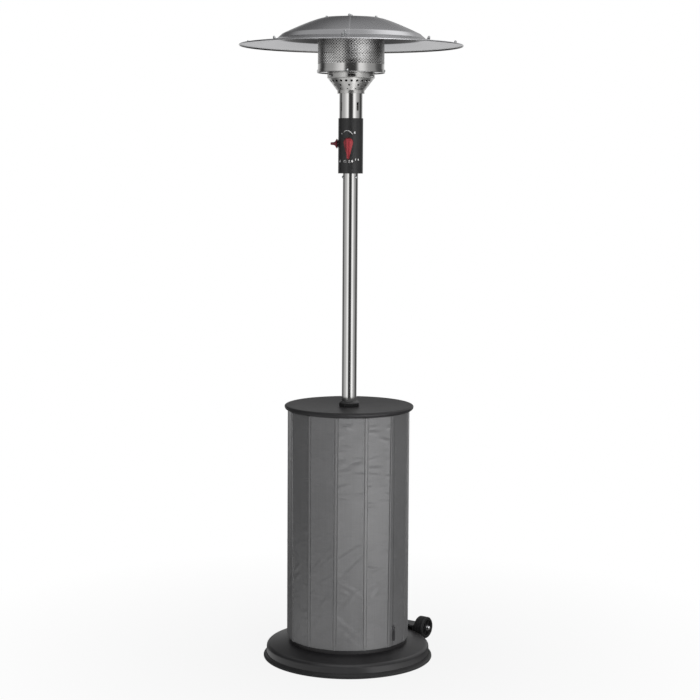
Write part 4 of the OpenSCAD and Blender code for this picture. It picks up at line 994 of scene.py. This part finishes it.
def make_floor():
    """A pale disc, white to the camera apart from the heater's shadow. Mirror rays see graded levels on it, and a
    bright patch at the front right, which gives the cloth its gloss."""
    reach, count, below = 4.4, 96, -0.0005
    patch_az, patch_edge, patch_full, patch_level = 34, 42, 24, 3.8
    disc = bpy.data.meshes.new("floor")
    disc.from_pydata(circle(reach, below, count), [], [tuple(range(count))])
    floor = bpy.data.objects.new("floor", disc)
    scene.collection.objects.link(floor)
    mat, tree = new_material("pale_floor")
    tree.nodes.clear()
    at = node(tree, "TexCoord").outputs["Object"]
    away = node(tree, "VectorMath", {0: at}, operation="LENGTH").outputs["Value"]
    near = map_range(tree, away, 0.3, 1.6, 0.9, 1.0)
    mirror = mirror_rays(tree)
    camera = node(tree, "LightPath").outputs["Is Camera Ray"]
    glow = math_node(tree, "ADD", math_node(tree, "MULTIPLY", camera, near), mirror)
    a = CAM_AZ + patch_az * RAD
    along = node(tree, "VectorMath", {0: at, 1: (math.sin(a), -math.cos(a), 0)}, operation="DOT_PRODUCT")
    wedge = map_range(tree, math_node(tree, "DIVIDE", along.outputs["Value"], away), math.cos(patch_edge * RAD),
                      math.cos(patch_full * RAD), 0.0, patch_level)
    patch = math_node(tree, "MULTIPLY", wedge, map_range(tree, away, 1.4, 2.0))
    x, y, _ = node(tree, "SeparateXYZ", {0: at}).outputs
    under = mix_colour(tree, map_range(tree, away, 1.1, 2.0), round_about(tree, x, y, FLOOR_LEFT, FLOOR_RIGHT),
                       round_about(tree, x, y, FLOOR_FAR, FLOOR_FAR))
    level = mix_colour(tree, mirror, rgba(WHITE), mix_colour(tree, 1.0, under, patch, "ADD"))
    matt = node(tree, "BsdfDiffuse", {"Color": rgba((0.3, 0.3, 0.3))})
    light = node(tree, "Emission", {"Color": level, "Strength": 1.0})
    both = node(tree, "MixShader", {0: glow, 1: matt.outputs[0], 2: light.outputs[0]})
    out = node(tree, "OutputMaterial")
    tree.links.new(both.outputs[0], out.inputs[0])
    disc.materials.append(mat)


def lamp(name, turn, reach, height, size, power, target):
    """A soft box, wide and high, at an angle from the camera's side that grows to the right. It is hidden from
    glossy rays: what gloss and metal mirror is the studio's own walls, spots and floor."""
    data = bpy.data.lights.new(name, "AREA")
    data.shape, data.energy = "RECTANGLE", power
    data.size, data.size_y = size
    obj = bpy.data.objects.new(name, data)
    scene.collection.objects.link(obj)
    a = CAM_AZ + turn * RAD
    obj.location = (reach * math.sin(a), -reach * math.cos(a), height)
    obj.visible_glossy = False
    obj.rotation_mode = "QUATERNION"
    obj.rotation_quaternion = (Vector((0, 0, target)) - obj.location).to_track_quat("-Z", "Y")


make_world()
make_floor()
lamp("key", 18, 3.6, 0.9, (1.4, 1.4), 90, 0.5)
lamp("left", -50, 4.4, 1.8, (0.9, 2.6), 8, 1.2)
lamp("behind_left", -130, 4.4, 2.0, (1.6, 1.2), 12, 1.0)
lamp("behind_right", 160, 4.4, 2.0, (1.6, 1.2), 40, 1.0)
